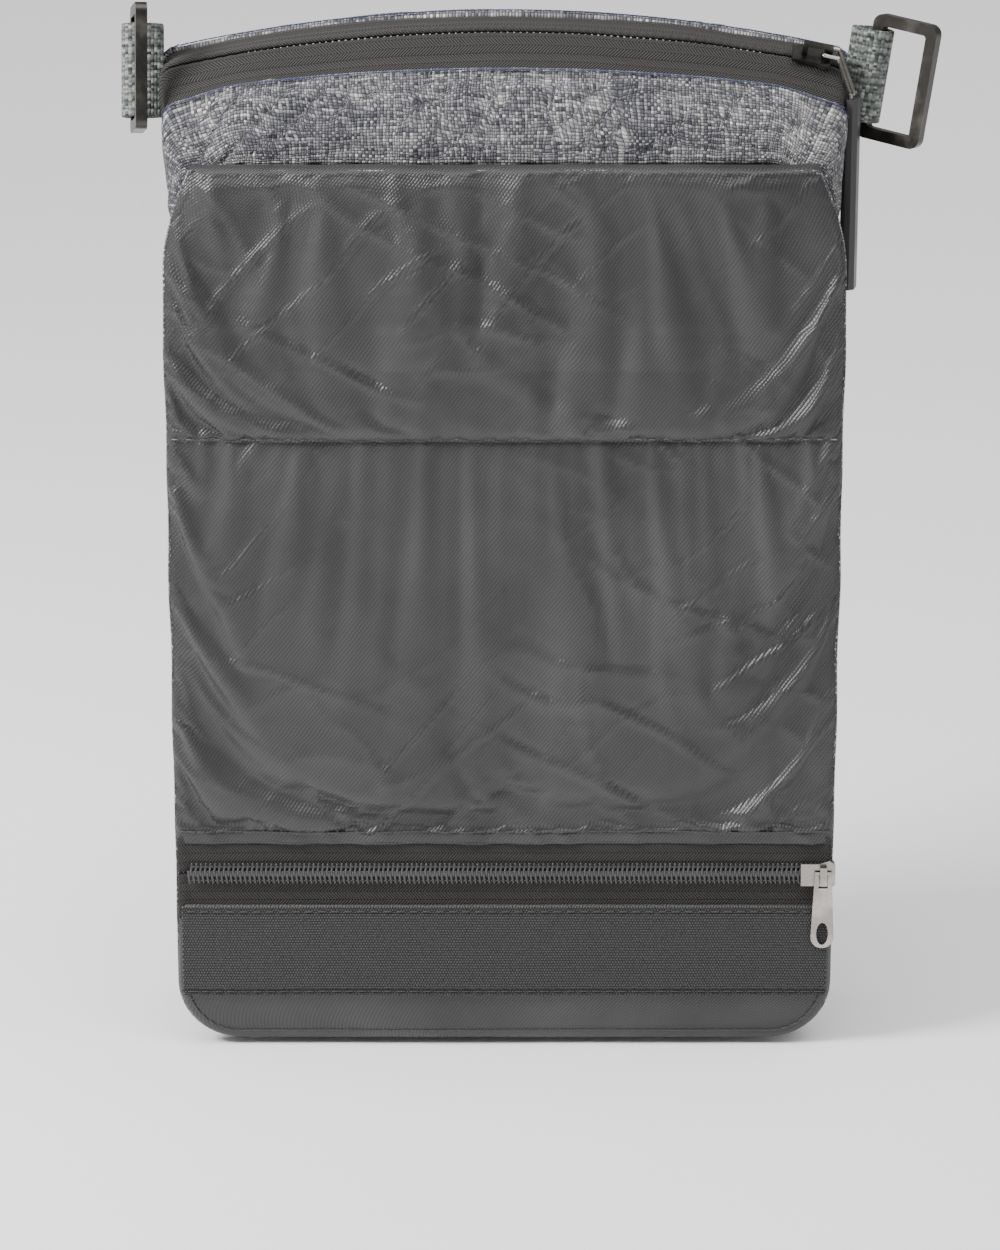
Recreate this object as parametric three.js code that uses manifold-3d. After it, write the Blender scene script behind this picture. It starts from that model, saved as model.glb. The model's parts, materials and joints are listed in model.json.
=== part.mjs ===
// A flap-over mail and messenger bag, standing on its base with the flap thrown open down its back.
// Millimetres, +Z up, origin at the centre of the base. The back of the bag faces -Y.
// Every cloth piece is a thin closed sheet; the flap is three stiff panels joined by two folds.
import * as THREE from "three";
import { mergeVertices } from "three/addons/utils/BufferGeometryUtils.js";
import Module from "manifold-3d";

const wasm = await Module();
wasm.setup();

// ---- driving dimensions ----
const HALF_WIDTH = 102; // body, at the seams of the back panel
const BACK_HEIGHT = 288; // seam where the flap joins the back
const DEPTH = 45;
const CORNER = 22; // radius of the body's corners, seen from behind
const SHELL = 2; // outer cloth with its foam backing
const GAP = 0.4; // clearance between neighbouring pieces

const DOME_RISE = 41; // the gusset stands this far above the back seam
const DOME_REACH = 36; // half of the dome's ellipse, front to back
const ZIP_ARC_R = 510; // the top zip follows this arc across the bag
const ZIP_REAR = deg(134); // ellipse angles of the top zip tape's edges
const ZIP_FRONT = deg(93.2);
const WAIST = 6; // the side gussets pull in this far under the dome
const END_OUT = 25; // the dome reaches this far past the straight part of the top
const ROUND_BY = deg(30);
const TAPE_END = deg(50);

const FLAP_HALF_WIDTH = 105.3;
const FLAP_SEAM_HALF = 96.5; // half length of the seam that holds the flap
const FLAP_FLARE = 34; // it widens to its full width this far below the seam
const FLAP_Y = -27.5; // mid-plane of the hanging flap, and the line of its hinge
const FOLDS = [288, 250, 203]; // height of the flap's hinge and its two folds
const FLAP_FOOT = 5; // free edge, above the floor
const FLAP_CORNER = 20;

const FLAP_ZIP_Z = 59.5;
const FLAP_ZIP_TAPE = 32;
const POCKET_LOW = FLAP_ZIP_Z + 10.5; // lower edge of the pocket's outer panel
const HOOK_STRIP = { low: 18, high: 48, half: 103.5 };
const LOOP_STRIP = { low: 152.8, high: 182.8, half: 85 };

const WEBBING = 29;
const RING = { long: 39, short: 22, bar: 3.6 };

const seamY = -DEPTH / 2;
const frontY = DEPTH / 2;
const domeY = seamY + DOME_REACH; // centre of the dome's ellipse
const frontAngle = Math.acos((frontY - domeY) / DOME_REACH);
const zipAngle = (ZIP_REAR + ZIP_FRONT) / 2;
const straight = HALF_WIDTH - CORNER; // half of the outline's straight top and bottom
const cornerZ = BACK_HEIGHT - CORNER;

// ---- helpers ----
function deg(a) {
  return (a * Math.PI) / 180;
}

function smooth(a, b, t) {
  const k = Math.min(1, Math.max(0, (t - a) / (b - a)));
  return k * k * (3 - 2 * k);
}

// A closed sheet whose outer side is surface(u, v), u and v from 0 to 1, `thick` deep on the other side.
function sheet(surface, nu, nv, thick, raise = 0) {
  const step = 1e-3;
  const outer = [];
  const inner = [];
  for (let i = 0; i <= nu; i++) {
    for (let j = 0; j <= nv; j++) {
      const u = i / nu;
      const v = j / nv;
      const p = surface(u, v);
      const [ua, ub] = [Math.max(0, u - step), Math.min(1, u + step)];
      const [va, vb] = [Math.max(0, v - step), Math.min(1, v + step)];
      const n = surface(ub, v)
        .sub(surface(ua, v))
        .cross(surface(u, vb).sub(surface(u, va)))
        .normalize();
      outer.push(p.clone().addScaledVector(n, raise));
      inner.push(p.addScaledVector(n, raise - thick));
    }
  }
  const at = (i, j) => i * (nv + 1) + j;
  const back = outer.length;
  const index = [];
  const quad = (a, b, c, d) => index.push(a, b, c, a, c, d);
  for (let i = 0; i < nu; i++) {
    for (let j = 0; j < nv; j++) {
      quad(at(i, j), at(i + 1, j), at(i + 1, j + 1), at(i, j + 1));
      quad(back + at(i, j), back + at(i, j + 1), back + at(i + 1, j + 1), back + at(i + 1, j));
    }
    quad(at(i, 0), back + at(i, 0), back + at(i + 1, 0), at(i + 1, 0));
    quad(at(i + 1, nv), back + at(i + 1, nv), back + at(i, nv), at(i, nv));
  }
  for (let j = 0; j < nv; j++) {
    quad(at(0, j + 1), back + at(0, j + 1), back + at(0, j), at(0, j));
    quad(at(nu, j), back + at(nu, j), back + at(nu, j + 1), at(nu, j + 1));
  }
  const geometry = new THREE.BufferGeometry();
  const places = [...outer, ...inner].flatMap((p) => p.toArray());
  geometry.setAttribute("position", new THREE.Float32BufferAttribute(places, 3));
  geometry.setIndex(index);
  return geometry;
}

function box(x0, x1, y0, y1, z0, z1) {
  return new THREE.BoxGeometry(x1 - x0, y1 - y0, z1 - z0).translate((x0 + x1) / 2, (y0 + y1) / 2, (z0 + z1) / 2);
}

// A shape drawn in x and z, extruded from y0 to y1.
function slab(shape, y0, y1) {
  return new THREE.ExtrudeGeometry(shape, { depth: y1 - y0, bevelEnabled: false, curveSegments: 8 })
    .rotateX(Math.PI / 2)
    .translate(0, y1, 0);
}

function solidOf(geometry) {
  const bare = new THREE.BufferGeometry();
  bare.setAttribute("position", (geometry.index ? geometry.toNonIndexed() : geometry).getAttribute("position"));
  const merged = mergeVertices(bare, 1e-4);
  return new wasm.Manifold(
    new wasm.Mesh({
      numProp: 3,
      vertProperties: merged.getAttribute("position").array,
      triVerts: new Uint32Array(merged.index.array),
    }),
  );
}

function geometryOf(solid) {
  const mesh = solid.getMesh();
  const geometry = new THREE.BufferGeometry();
  geometry.setAttribute("position", new THREE.BufferAttribute(new Float32Array(mesh.vertProperties), 3));
  geometry.setIndex(new THREE.BufferAttribute(new Uint32Array(mesh.triVerts), 1));
  return geometry;
}

const join = (...parts) => geometryOf(parts.map(solidOf).reduce((a, b) => a.add(b)));
const cut = (a, b) => geometryOf(solidOf(a).subtract(solidOf(b)));

const bag = new THREE.Group();
const finish = (color, roughness, metalness = 0) => new THREE.MeshStandardMaterial({ color, roughness, metalness });
const melange = finish(0x77777c, 0.95);
const lining = finish(0x35373a, 0.6);
const tape = finish(0x26272a, 0.85);
const coil = finish(0x3c3c3f, 0.4);
const hook = finish(0x303134, 0.95);
const webbing = finish(0x6b6f68, 0.9);
const gunmetal = finish(0x4b4845, 0.45, 0.8);
const nickel = finish(0x9a938a, 0.35, 1);
const rubber = finish(0x3a3a3a, 0.6);
const board = finish(0x222222, 0.8);

function add(name, geometry, material, parent = bag) {
  const mesh = new THREE.Mesh(geometry, material);
  mesh.name = name;
  parent.add(mesh);
  return mesh;
}

// ---- the body's surfaces ----
const zipLift = (x) => (ZIP_ARC_R - Math.sqrt(ZIP_ARC_R ** 2 - x ** 2)) / Math.sin(zipAngle);
const domeRise = (x) => DOME_RISE - zipLift(x);
const SQUARE = 14; // how square the dome's ends are

// Radius of the body's upper corner, a radians round it, where the dome stands `rise` high: the top's arc carries
// on to END_OUT, then the side drops from there to the waist.
function cornerRadius(a, rise) {
  const low = CORNER - WAIST * rise;
  const held = Math.min(a, deg(80));
  const x = straight + Math.min(END_OUT + 2, (CORNER + rise * 30) * Math.tan(held));
  const top = (CORNER + rise * domeRise(x)) / Math.cos(held);
  const side = (low + 1.2 * (END_OUT - low) * Math.cos(a) ** 2) / Math.sin(a);
  const squared = (top ** -SQUARE + side ** -SQUARE) ** (-1 / SQUARE);
  const round = 1 - smooth(0, ROUND_BY, a) * (1 - Math.sin((rise * Math.PI) / 2)); // low on the dome it is a plain arc
  return CORNER + (squared - CORNER) * round;
}
const depthAt = (angle) => domeY + DOME_REACH * Math.cos(angle);

// A point of the top gusset: `along` runs over the top and down round the right corner (above 0) or the left,
// in mm on the flat and then in radians of corner; `angle` is the place on the dome's ellipse.
function gusset(along, corner, angle) {
  const side = Math.sign(along) || 1;
  const rise = Math.sin(angle);
  if (!corner) return new THREE.Vector3(along, depthAt(angle), BACK_HEIGHT + rise * domeRise(along));
  const r = cornerRadius(corner, rise);
  return new THREE.Vector3(side * (straight + r * Math.sin(corner)), depthAt(angle), cornerZ + r * Math.cos(corner));
}

// The same point by one number, t from 0 (left end) to 1 (right end), that goes `reach` radians round each corner.
function overTop(t, angle, reach) {
  const arc = CORNER * 1.6 * reach;
  const q = (2 * t - 1) * (straight + arc);
  if (Math.abs(q) <= straight) return gusset(q, 0, angle);
  return gusset(Math.sign(q) * straight, ((Math.abs(q) - straight) / arc) * reach, angle);
}

const domeAngle = (y) => Math.acos(Math.min(1, Math.max(-1, (y - domeY) / DOME_REACH)));

// Half width of the side gussets: straight at the back seam, waisted in the middle.
function sideHalf(y, z) {
  const waist = smooth(CORNER, 90, z) * (0.4 + 0.6 * smooth(190, cornerZ, z));
  return HALF_WIDTH - Math.sin(domeAngle(y)) * WAIST * waist;
}

// The outline of the body in x and z at one depth, as a shape set in by `inset`.
function panelShape(y, inset) {
  const angle = domeAngle(y);
  const half = [];
  for (let i = 0; i <= 6; i++) {
    const a = (i / 6) * (Math.PI / 2);
    half.push([straight + CORNER * Math.sin(a), CORNER - CORNER * Math.cos(a)]);
  }
  for (let z = 60; z < cornerZ - 20; z += 40) half.push([sideHalf(y, z), z]);
  for (let i = 10; i >= 0; i--) {
    const p = gusset(straight, (i / 10) * (Math.PI / 2) + 1e-9, angle);
    half.push([p.x, p.z]);
  }
  for (const x of [60, 40, 20]) half.push([x, gusset(x, 0, angle).z]);
  const ring = [...half, ...half.map(([x, z]) => [-x, z]).reverse()];
  const set = ring.map(([x, z], i) => {
    const [ax, az] = ring[(i + ring.length - 1) % ring.length];
    const [bx, bz] = ring[(i + 1) % ring.length];
    const length = Math.hypot(bx - ax, bz - az);
    return new THREE.Vector2(x - (inset * (bz - az)) / length, z + (inset * (bx - ax)) / length);
  });
  return new THREE.Shape(set);
}

function bottomGusset() {
  const shape = new THREE.Shape();
  const inner = CORNER - SHELL;
  shape.moveTo(-HALF_WIDTH, CORNER);
  shape.absarc(-straight, CORNER, CORNER, Math.PI, 1.5 * Math.PI, false);
  shape.absarc(straight, CORNER, CORNER, 1.5 * Math.PI, 2 * Math.PI, false);
  shape.absarc(straight, CORNER, inner, 2 * Math.PI, 1.5 * Math.PI, true);
  shape.absarc(-straight, CORNER, inner, 1.5 * Math.PI, Math.PI, true);
  return slab(shape, seamY, frontY);
}

function sideGusset(side) {
  const top = cornerZ - GAP;
  const low = CORNER + GAP;
  return sheet(
    (u, v) => {
      const y = side * (seamY + DEPTH * u);
      const z = low + (top - low) * v;
      return new THREE.Vector3(side * sideHalf(y, z), y, z);
    },
    6,
    14,
    SHELL,
  );
}

// A strip of the top gusset between two ellipse angles.
function gussetStrip(fromAngle, toAngle, reach, thick, raise = 0, nv = 6) {
  return sheet((u, v) => overTop(u, fromAngle + (toAngle - fromAngle) * v, reach), 32, nv, thick, raise);
}

function zipEndPanel(side) {
  const from = side > 0 ? ZIP_REAR - 0.012 : ZIP_FRONT + 0.012;
  const to = side > 0 ? ZIP_FRONT + 0.012 : ZIP_REAR - 0.012;
  return sheet(
    (u, v) => gusset(side * straight, TAPE_END + 0.02 + (Math.PI / 2 - TAPE_END - 0.02) * u, from + (to - from) * v),
    6,
    5,
    SHELL,
  );
}

const PANEL_INSET = { back: 5.2, front: 4.2 }; // clear of the gusset's thickness round the outline
add("back_panel", slab(panelShape(seamY, PANEL_INSET.back), seamY, seamY + SHELL), melange);
add("front_panel", slab(panelShape(frontY, PANEL_INSET.front), frontY - SHELL, frontY), melange);
add("bottom_gusset", bottomGusset(), melange);
add("side_gusset_left", sideGusset(-1), melange);
add("side_gusset_right", sideGusset(1), melange);

const edge = 0.012; // radians of ellipse left clear at each edge of a strip
add("top_gusset_rear", gussetStrip(Math.PI - 0.001, ZIP_REAR + edge, Math.PI / 2, SHELL), melange);
add("top_gusset_front", gussetStrip(ZIP_FRONT - edge, frontAngle, Math.PI / 2, SHELL), melange);
const slot = 0.02; // half of the slit between the tapes, in radians
add("top_zip_tape_rear", gussetStrip(ZIP_REAR - edge, zipAngle + slot, TAPE_END, 1, -0.5, 3), tape);
add("top_zip_tape_front", gussetStrip(zipAngle - slot, ZIP_FRONT + edge, TAPE_END, 1, -0.5, 3), tape);
const COIL = { span: 0.11, reach: deg(17), thick: 1.5, sunk: -2.4 }; // span in radians: 3.9 mm on each tape
const coilStrip = (from, to) => gussetStrip(from, to, COIL.reach, COIL.thick, COIL.sunk, 1);
add("top_zip_coil_rear", coilStrip(zipAngle + slot + COIL.span, zipAngle + slot), coil);
add("top_zip_coil_front", coilStrip(zipAngle - slot, zipAngle - slot - COIL.span), coil);
add("zip_end_panel_left", zipEndPanel(-1), melange);
add("zip_end_panel_right", zipEndPanel(1), melange);

// ---- inside the body ----
const pad = SHELL + GAP; // where the inner pieces start, in from the body's faces
const FOAM = { half: 92, thick: 3, low: 8, high: 262 };
const BOARD_THICK = 1.4;
add("back_padding", box(-FOAM.half, FOAM.half, seamY + pad, seamY + pad + FOAM.thick, FOAM.low, FOAM.high), board);
add("base_board", box(-straight, straight, seamY + pad, frontY - pad, pad, pad + BOARD_THICK), board);
const liningBox = {
  half: 91,
  rear: seamY + pad + FOAM.thick + GAP,
  front: frontY - pad,
  low: FOAM.low,
  high: FOAM.high,
  thick: 0.6,
};
add(
  "main_lining",
  cut(
    box(-liningBox.half, liningBox.half, liningBox.rear, liningBox.front, liningBox.low, liningBox.high),
    box(
      -liningBox.half + liningBox.thick,
      liningBox.half - liningBox.thick,
      liningBox.rear + liningBox.thick,
      liningBox.front - liningBox.thick,
      liningBox.low + liningBox.thick,
      liningBox.high + 1,
    ),
  ),
  lining,
);
add(
  "loop_strip",
  box(-LOOP_STRIP.half, LOOP_STRIP.half, frontY + GAP, frontY + GAP + 1.6, LOOP_STRIP.low, LOOP_STRIP.high),
  hook,
);

// ---- rings on their webbing loops ----
const EYE_R = 3;
const WEB_THICK = 1.6;

// A loop of webbing, pinched where it is sewn in at x = 0 and holding an eye at x = reach; its width runs along z.
function webbingLoop(reach) {
  const outline = (r, tip, path) => {
    path.moveTo(0.4 + WEB_THICK - tip, -tip);
    path.lineTo(reach * 0.45, -r);
    path.lineTo(reach, -r);
    path.absarc(reach, 0, r, -Math.PI / 2, Math.PI / 2, false);
    path.lineTo(reach * 0.45, r);
    path.lineTo(0.4 + WEB_THICK - tip, tip);
    path.closePath();
    return path;
  };
  const shape = outline(EYE_R + WEB_THICK, WEB_THICK + 0.2, new THREE.Shape());
  shape.holes.push(outline(EYE_R, 0.2, new THREE.Path()));
  return new THREE.ExtrudeGeometry(shape, { depth: WEBBING, bevelEnabled: false, curveSegments: 8 }).translate(
    0,
    0,
    -WEBBING / 2,
  );
}

// A rectangular ring, its inner long bar on the z axis and the rest reaching along +x.
function ringFrame() {
  const rounded = (x0, x1, z0, z1, r, path) => {
    path.moveTo(x0 + r, z0);
    path.lineTo(x1 - r, z0);
    path.absarc(x1 - r, z0 + r, r, -Math.PI / 2, 0, false);
    path.absarc(x1 - r, z1 - r, r, 0, Math.PI / 2, false);
    path.absarc(x0 + r, z1 - r, r, Math.PI / 2, Math.PI, false);
    path.absarc(x0 + r, z0 + r, r, Math.PI, 1.5 * Math.PI, false);
    return path;
  };
  const bar = RING.bar;
  const half = RING.long / 2;
  const shape = rounded(-bar / 2, RING.short - bar / 2, -half, half, 3.2, new THREE.Shape());
  shape.holes.push(rounded(bar / 2, RING.short - 1.5 * bar, bar - half, half - bar, 1, new THREE.Path()));
  return new THREE.ExtrudeGeometry(shape, { depth: bar, bevelEnabled: false, curveSegments: 5 })
    .rotateX(Math.PI / 2)
    .translate(0, bar / 2, 0);
}

// A frame at `place` whose z runs along `width` and whose x runs along `reach`.
function turned(place, width, reach) {
  const z = new THREE.Vector3(...width).normalize();
  const x = new THREE.Vector3(...reach).projectOnPlane(z).normalize();
  const group = new THREE.Group();
  group.applyMatrix4(new THREE.Matrix4().makeBasis(x, z.clone().cross(x), z));
  group.position.set(...place);
  bag.add(group);
  return group;
}

const LOOP_REACH = 9.2;
const LOOP_Z = 312;
const LOOP_Y = 6.2;
const loopStart = 105.2;
const leftLoop = turned([-loopStart, LOOP_Y, LOOP_Z], [0, 0.27, 0.96], [-1, 0, 0]);
const rightLoop = turned([loopStart, LOOP_Y, LOOP_Z], [0.14, 0, 0.97], [1, 0, -0.14]);
add("ring_loop_left", webbingLoop(LOOP_REACH), webbing, leftLoop);
add("ring_loop_right", webbingLoop(LOOP_REACH), webbing, rightLoop);
const leftRing = turned([-loopStart - LOOP_REACH, LOOP_Y, LOOP_Z], [0, 0.27, 0.96], [0.16, -0.95, 0.26]);
const rightEye = new THREE.Vector3(LOOP_REACH, 0, 0).applyMatrix4(rightLoop.matrix).add(rightLoop.position);
const rightRing = turned(rightEye.toArray(), [0.14, 0, 0.97], [0.8, -0.5, -0.115]);
add("ring_left", ringFrame(), gunmetal, leftRing);
add("ring_right", ringFrame(), gunmetal, rightRing);

// ---- top zip slider and its long pull ----
const SLIDER_X = 94.5;
const zipLine = gusset(SLIDER_X - 16, 0, zipAngle); // depth of the zip line; its height comes from the arc
const arcZ = (x) => BACK_HEIGHT + Math.sin(zipAngle) * DOME_RISE - ZIP_ARC_R + Math.sqrt(ZIP_ARC_R ** 2 - x ** 2);
const zipSlope = Math.atan2(-DOME_RISE * Math.cos(zipAngle), DOME_REACH * Math.sin(zipAngle));
const sliderAcross = [0, Math.cos(zipSlope), Math.sin(zipSlope)];

// A zip slider in its own frame: x along the travel, y across the tape, z out of it. The bridge for its pull
// runs along the travel, or across it.
function zipSlider({ length, wide, narrow, top, bottom, bridge }) {
  const plate = ([z0, z1]) => {
    const shape = new THREE.Shape();
    shape.moveTo(-length / 2, -narrow / 2);
    shape.lineTo(0, -narrow / 2);
    shape.lineTo(length / 2 - 2, -wide / 2);
    shape.lineTo(length / 2, -wide / 2 + 1.5);
    shape.lineTo(length / 2, wide / 2 - 1.5);
    shape.lineTo(length / 2 - 2, wide / 2);
    shape.lineTo(0, narrow / 2);
    shape.lineTo(-length / 2, narrow / 2);
    return new THREE.ExtrudeGeometry(shape, { depth: z1 - z0, bevelEnabled: false }).translate(0, 0, z0);
  };
  const { half, leg, rise, thick, width, at, across } = bridge;
  const arch = new THREE.Shape();
  arch.moveTo(-half, 0);
  arch.lineTo(-half + leg, 0);
  arch.lineTo(-half + leg, rise - thick);
  arch.lineTo(half - leg, rise - thick);
  arch.lineTo(half - leg, 0);
  arch.lineTo(half, 0);
  arch.lineTo(half, rise);
  arch.lineTo(-half, rise);
  const crown = new THREE.ExtrudeGeometry(arch, { depth: width, bevelEnabled: false })
    .rotateX(Math.PI / 2)
    .translate(0, width / 2, 0)
    .rotateZ(across ? Math.PI / 2 : 0)
    .translate(at, 0, top[1] - 0.1);
  const web = box(-length * 0.12, length * 0.12, -0.25, 0.25, bottom[0], top[1] - 0.2);
  return join(plate(top), plate(bottom), web, crown);
}

function arcFrame(x) {
  const group = new THREE.Group();
  const along = new THREE.Vector3(Math.sqrt(ZIP_ARC_R ** 2 - x ** 2), 0, -x).normalize();
  const across = new THREE.Vector3(...sliderAcross).projectOnPlane(along).normalize();
  group.applyMatrix4(new THREE.Matrix4().makeBasis(along, across, along.clone().cross(across)));
  group.position.set(x, zipLine.y, arcZ(x));
  bag.add(group);
  return group;
}

const TOP_SLIDER = {
  length: 12,
  wide: 11,
  narrow: 8.4,
  top: [1.1, 2.3],
  bottom: [-5.8, -4.8],
  bridge: { half: 4.6, leg: 1.6, rise: 4.1, thick: 1.1, width: 2, at: 1.4, across: false },
};
const topSlider = arcFrame(SLIDER_X);
add("top_zip_slider", zipSlider(TOP_SLIDER), gunmetal, topSlider);

// A round rod from a to b with rounded ends.
function rod(a, b, radius) {
  const way = b.clone().sub(a);
  const cylinder = new THREE.CylinderGeometry(radius, radius, way.length(), 8)
    .applyQuaternion(new THREE.Quaternion().setFromUnitVectors(new THREE.Vector3(0, 1, 0), way.clone().normalize()))
    .translate(...a.clone().add(b).multiplyScalar(0.5).toArray());
  const ball = (p) => new THREE.IcosahedronGeometry(radius * 1.02, 1).translate(...p.toArray());
  return join(cylinder, ball(a), ball(b));
}

// The pull: a wire staple through the slider's bridge that leads outboard and down into a moulded bar.
const PULL = { wire: 0.7, spread: 2.3, top: [107.3, -4.6, 307], length: 60, width: 8, thick: 4.8, turn: deg(-14) };
topSlider.updateMatrix();
const onSlider = (x, y, z) => new THREE.Vector3(x, y, z).applyMatrix4(topSlider.matrix);
const PIVOT = [3.55, 4.1]; // where the staple turns in the bridge: along the slider, and out of it

function pullStaple() {
  const top = new THREE.Vector3(...PULL.top);
  const level = new THREE.Vector3(Math.sin(-PULL.turn), Math.cos(PULL.turn), 0);
  const rods = [];
  for (const s of [-1, 1]) {
    const eye = onSlider(PIVOT[0], s * PULL.spread, PIVOT[1]);
    const knee = onSlider(PIVOT[0] + 4.6, s * PULL.spread, PIVOT[1] - 0.2);
    const bend = top.clone().addScaledVector(level, s * PULL.spread);
    const tip = bend.clone().add(new THREE.Vector3(0, 0, -5.4));
    rods.push(rod(eye, knee, PULL.wire), rod(knee, bend, PULL.wire), rod(bend, tip, PULL.wire));
  }
  const pin = rod(onSlider(PIVOT[0], -PULL.spread, PIVOT[1]), onSlider(PIVOT[0], PULL.spread, PIVOT[1]), PULL.wire);
  return join(pin, ...rods);
}

function pullBar() {
  const w = PULL.width / 2;
  const t = PULL.thick / 2;
  const c = 1.5;
  const points = [[-w, -t + c], [-w + c, -t], [w - c, -t], [w, -t + c], [w, t - c], [w - c, t], [-w + c, t], [-w, t - c]];
  const section = new THREE.Shape(points.map(([x, y]) => new THREE.Vector2(x, y)));
  const bar = new THREE.ExtrudeGeometry(section, { depth: PULL.length, bevelEnabled: false }).translate(0, 0, -PULL.length);
  const side = PULL.wire + 0.35;
  const sockets = [-1, 1].map((s) => box(s * PULL.spread - side, s * PULL.spread + side, -side, side, -5, 1));
  return cut(bar, geometryOf(solidOf(sockets[0]).add(solidOf(sockets[1]))))
    .rotateZ(Math.PI / 2 + PULL.turn)
    .translate(PULL.top[0], PULL.top[1], PULL.top[2] - 1.5);
}

add("top_zip_staple", pullStaple(), gunmetal);
add("top_zip_pull_bar", pullBar(), rubber);

// ---- the flap, hanging open ----
// Half width of the flap at height z: drawn in to the seam at the top, rounded at its free corners.
function flapHalf(z, inset = 0) {
  const widened = Math.sin(Math.min(1, (FOLDS[0] - z) / FLAP_FLARE) * (Math.PI / 2));
  const seam = FLAP_SEAM_HALF + (FLAP_HALF_WIDTH - FLAP_SEAM_HALF) * widened;
  const up = z - FLAP_FOOT;
  const above = Math.max(0, FLAP_CORNER - up);
  return seam - (FLAP_CORNER - Math.sqrt(Math.max(0, FLAP_CORNER ** 2 - above ** 2))) - inset;
}

// A flat piece of the flap from z = low to z = high, between two depths in front of the back panel.
function flapPiece(low, high, near, far, inset = 0) {
  const left = [];
  const rows = Math.max(2, Math.ceil((high - low) / 12));
  const heights = new Set();
  for (let i = 0; i <= rows; i++) heights.add(low + ((high - low) * i) / rows);
  for (let i = 0; i <= 8; i++) {
    const z = FLAP_FOOT + inset + FLAP_CORNER * (1 - Math.cos((i / 8) * (Math.PI / 2)));
    if (z > low && z < high) heights.add(z);
  }
  const sorted = [...heights].sort((a, b) => a - b);
  for (const z of sorted) left.push(new THREE.Vector2(flapHalf(z, inset), z));
  const shape = new THREE.Shape([...left, ...left.map((p) => new THREE.Vector2(-p.x, p.y)).reverse()]);
  return slab(shape, far, near);
}

const [seamZ, foldOne, foldTwo] = FOLDS;
const layer = {
  outer: [-26, -27.1],
  backing: [-27.4, -27.8],
  upper: [-28.2, -29],
  tape: [-28.8, -29.3],
  lining: [-29.6, -30.2],
};
const tapeHalf = FLAP_ZIP_TAPE / 2;
// The lining is on the inside of both folds, so each piece stops short by more the deeper it lies.
const MITRE = { oneLining: 1.1, twoLining: 2.3, twoPocket: 3.9 };

add("flap_shell_root", flapPiece(foldOne + GAP, seamZ - 1, ...layer.outer), melange);
add("flap_shell_top", flapPiece(foldTwo + GAP, foldOne - GAP, ...layer.outer), melange);
add("flap_shell_front", flapPiece(FLAP_FOOT, foldTwo - GAP, ...layer.outer), melange);
add("flap_lining_root", flapPiece(foldOne + MITRE.oneLining, seamZ - 1, ...layer.upper, 0.8), lining);
add("flap_lining_top", flapPiece(foldTwo + MITRE.twoLining, foldOne - MITRE.oneLining, ...layer.upper, 0.8), lining);
add("flap_pocket_backing", flapPiece(FLAP_ZIP_Z - tapeHalf + 1, foldTwo - 3, ...layer.backing, 1.5), lining);
add("flap_pocket_panel", flapPiece(POCKET_LOW, foldTwo - MITRE.twoPocket, ...layer.lining, 0.8), lining);
add("flap_hem_lining", flapPiece(FLAP_FOOT + 0.8, FLAP_ZIP_Z - tapeHalf - GAP, ...layer.lining, 0.8), lining);

const zipSlit = 0.7; // half of the slit between the flap's two tapes
const flapZipHalf = 102;
add(
  "flap_zip_tape_upper",
  box(-flapZipHalf, flapZipHalf, layer.tape[1], layer.tape[0], FLAP_ZIP_Z + zipSlit, FLAP_ZIP_Z + tapeHalf),
  tape,
);
add(
  "flap_zip_tape_lower",
  box(-flapZipHalf, flapZipHalf, layer.tape[1], layer.tape[0], FLAP_ZIP_Z - tapeHalf, FLAP_ZIP_Z - zipSlit),
  tape,
);
const coilDepth = [-30.9, -29.5];
const coilHalf = flapZipHalf - 1;
const coilEdge = 3.1; // edge of each coil, from the middle of the zip
add("flap_zip_coil_upper", box(-coilHalf, coilHalf, ...coilDepth, FLAP_ZIP_Z + zipSlit, FLAP_ZIP_Z + coilEdge), coil);
add("flap_zip_coil_lower", box(-coilHalf, coilHalf, ...coilDepth, FLAP_ZIP_Z - coilEdge, FLAP_ZIP_Z - zipSlit), coil);
const hookDepth = [-31.9, -30.5];
add("hook_strip", box(-HOOK_STRIP.half, HOOK_STRIP.half, ...hookDepth, HOOK_STRIP.low, HOOK_STRIP.high), hook);

// ---- the flap's zip slider and its puller ----
const FLAP_SLIDER_X = 100.3;
const FLAP_SLIDER = {
  length: 11,
  wide: 9.6,
  narrow: 7.4,
  top: [3.7, 4.4],
  bottom: [0.6, 1.05],
  bridge: { half: 3.1, leg: 1, rise: 2.1, thick: 0.8, width: 2.2, at: 1.6, across: true },
};
const flapSlider = new THREE.Group();
flapSlider.rotation.x = Math.PI / 2; // its y becomes z, its z points out of the flap
flapSlider.position.set(FLAP_SLIDER_X, FLAP_Y, FLAP_ZIP_Z);
bag.add(flapSlider);
add("flap_zip_slider", zipSlider(FLAP_SLIDER), nickel, flapSlider);

// A flat teardrop tab hanging down -z from its top bar, with a window round the bridge's leg and a finger hole.
function tearDrop({ length, top, bottom, thick, window, bar }) {
  const shape = new THREE.Shape();
  shape.moveTo(-top / 2, bar / 2);
  shape.lineTo(-bottom / 2, -length + bottom / 2);
  shape.absarc(0, -length + bottom / 2, bottom / 2, Math.PI, 2 * Math.PI, false);
  shape.lineTo(top / 2, bar / 2);
  const frame = new THREE.Path();
  const w = window[0] / 2;
  frame.moveTo(-w, -bar / 2);
  frame.lineTo(w, -bar / 2);
  frame.lineTo(w, -bar / 2 - window[1]);
  frame.lineTo(-w, -bar / 2 - window[1]);
  const hole = new THREE.Path();
  hole.absellipse(0, -length + bottom / 2 + 1.2, bottom * 0.26, bottom * 0.52, 0, 2 * Math.PI, true, 0);
  shape.holes.push(frame, hole);
  return slab(shape, -thick / 2, thick / 2);
}

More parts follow.
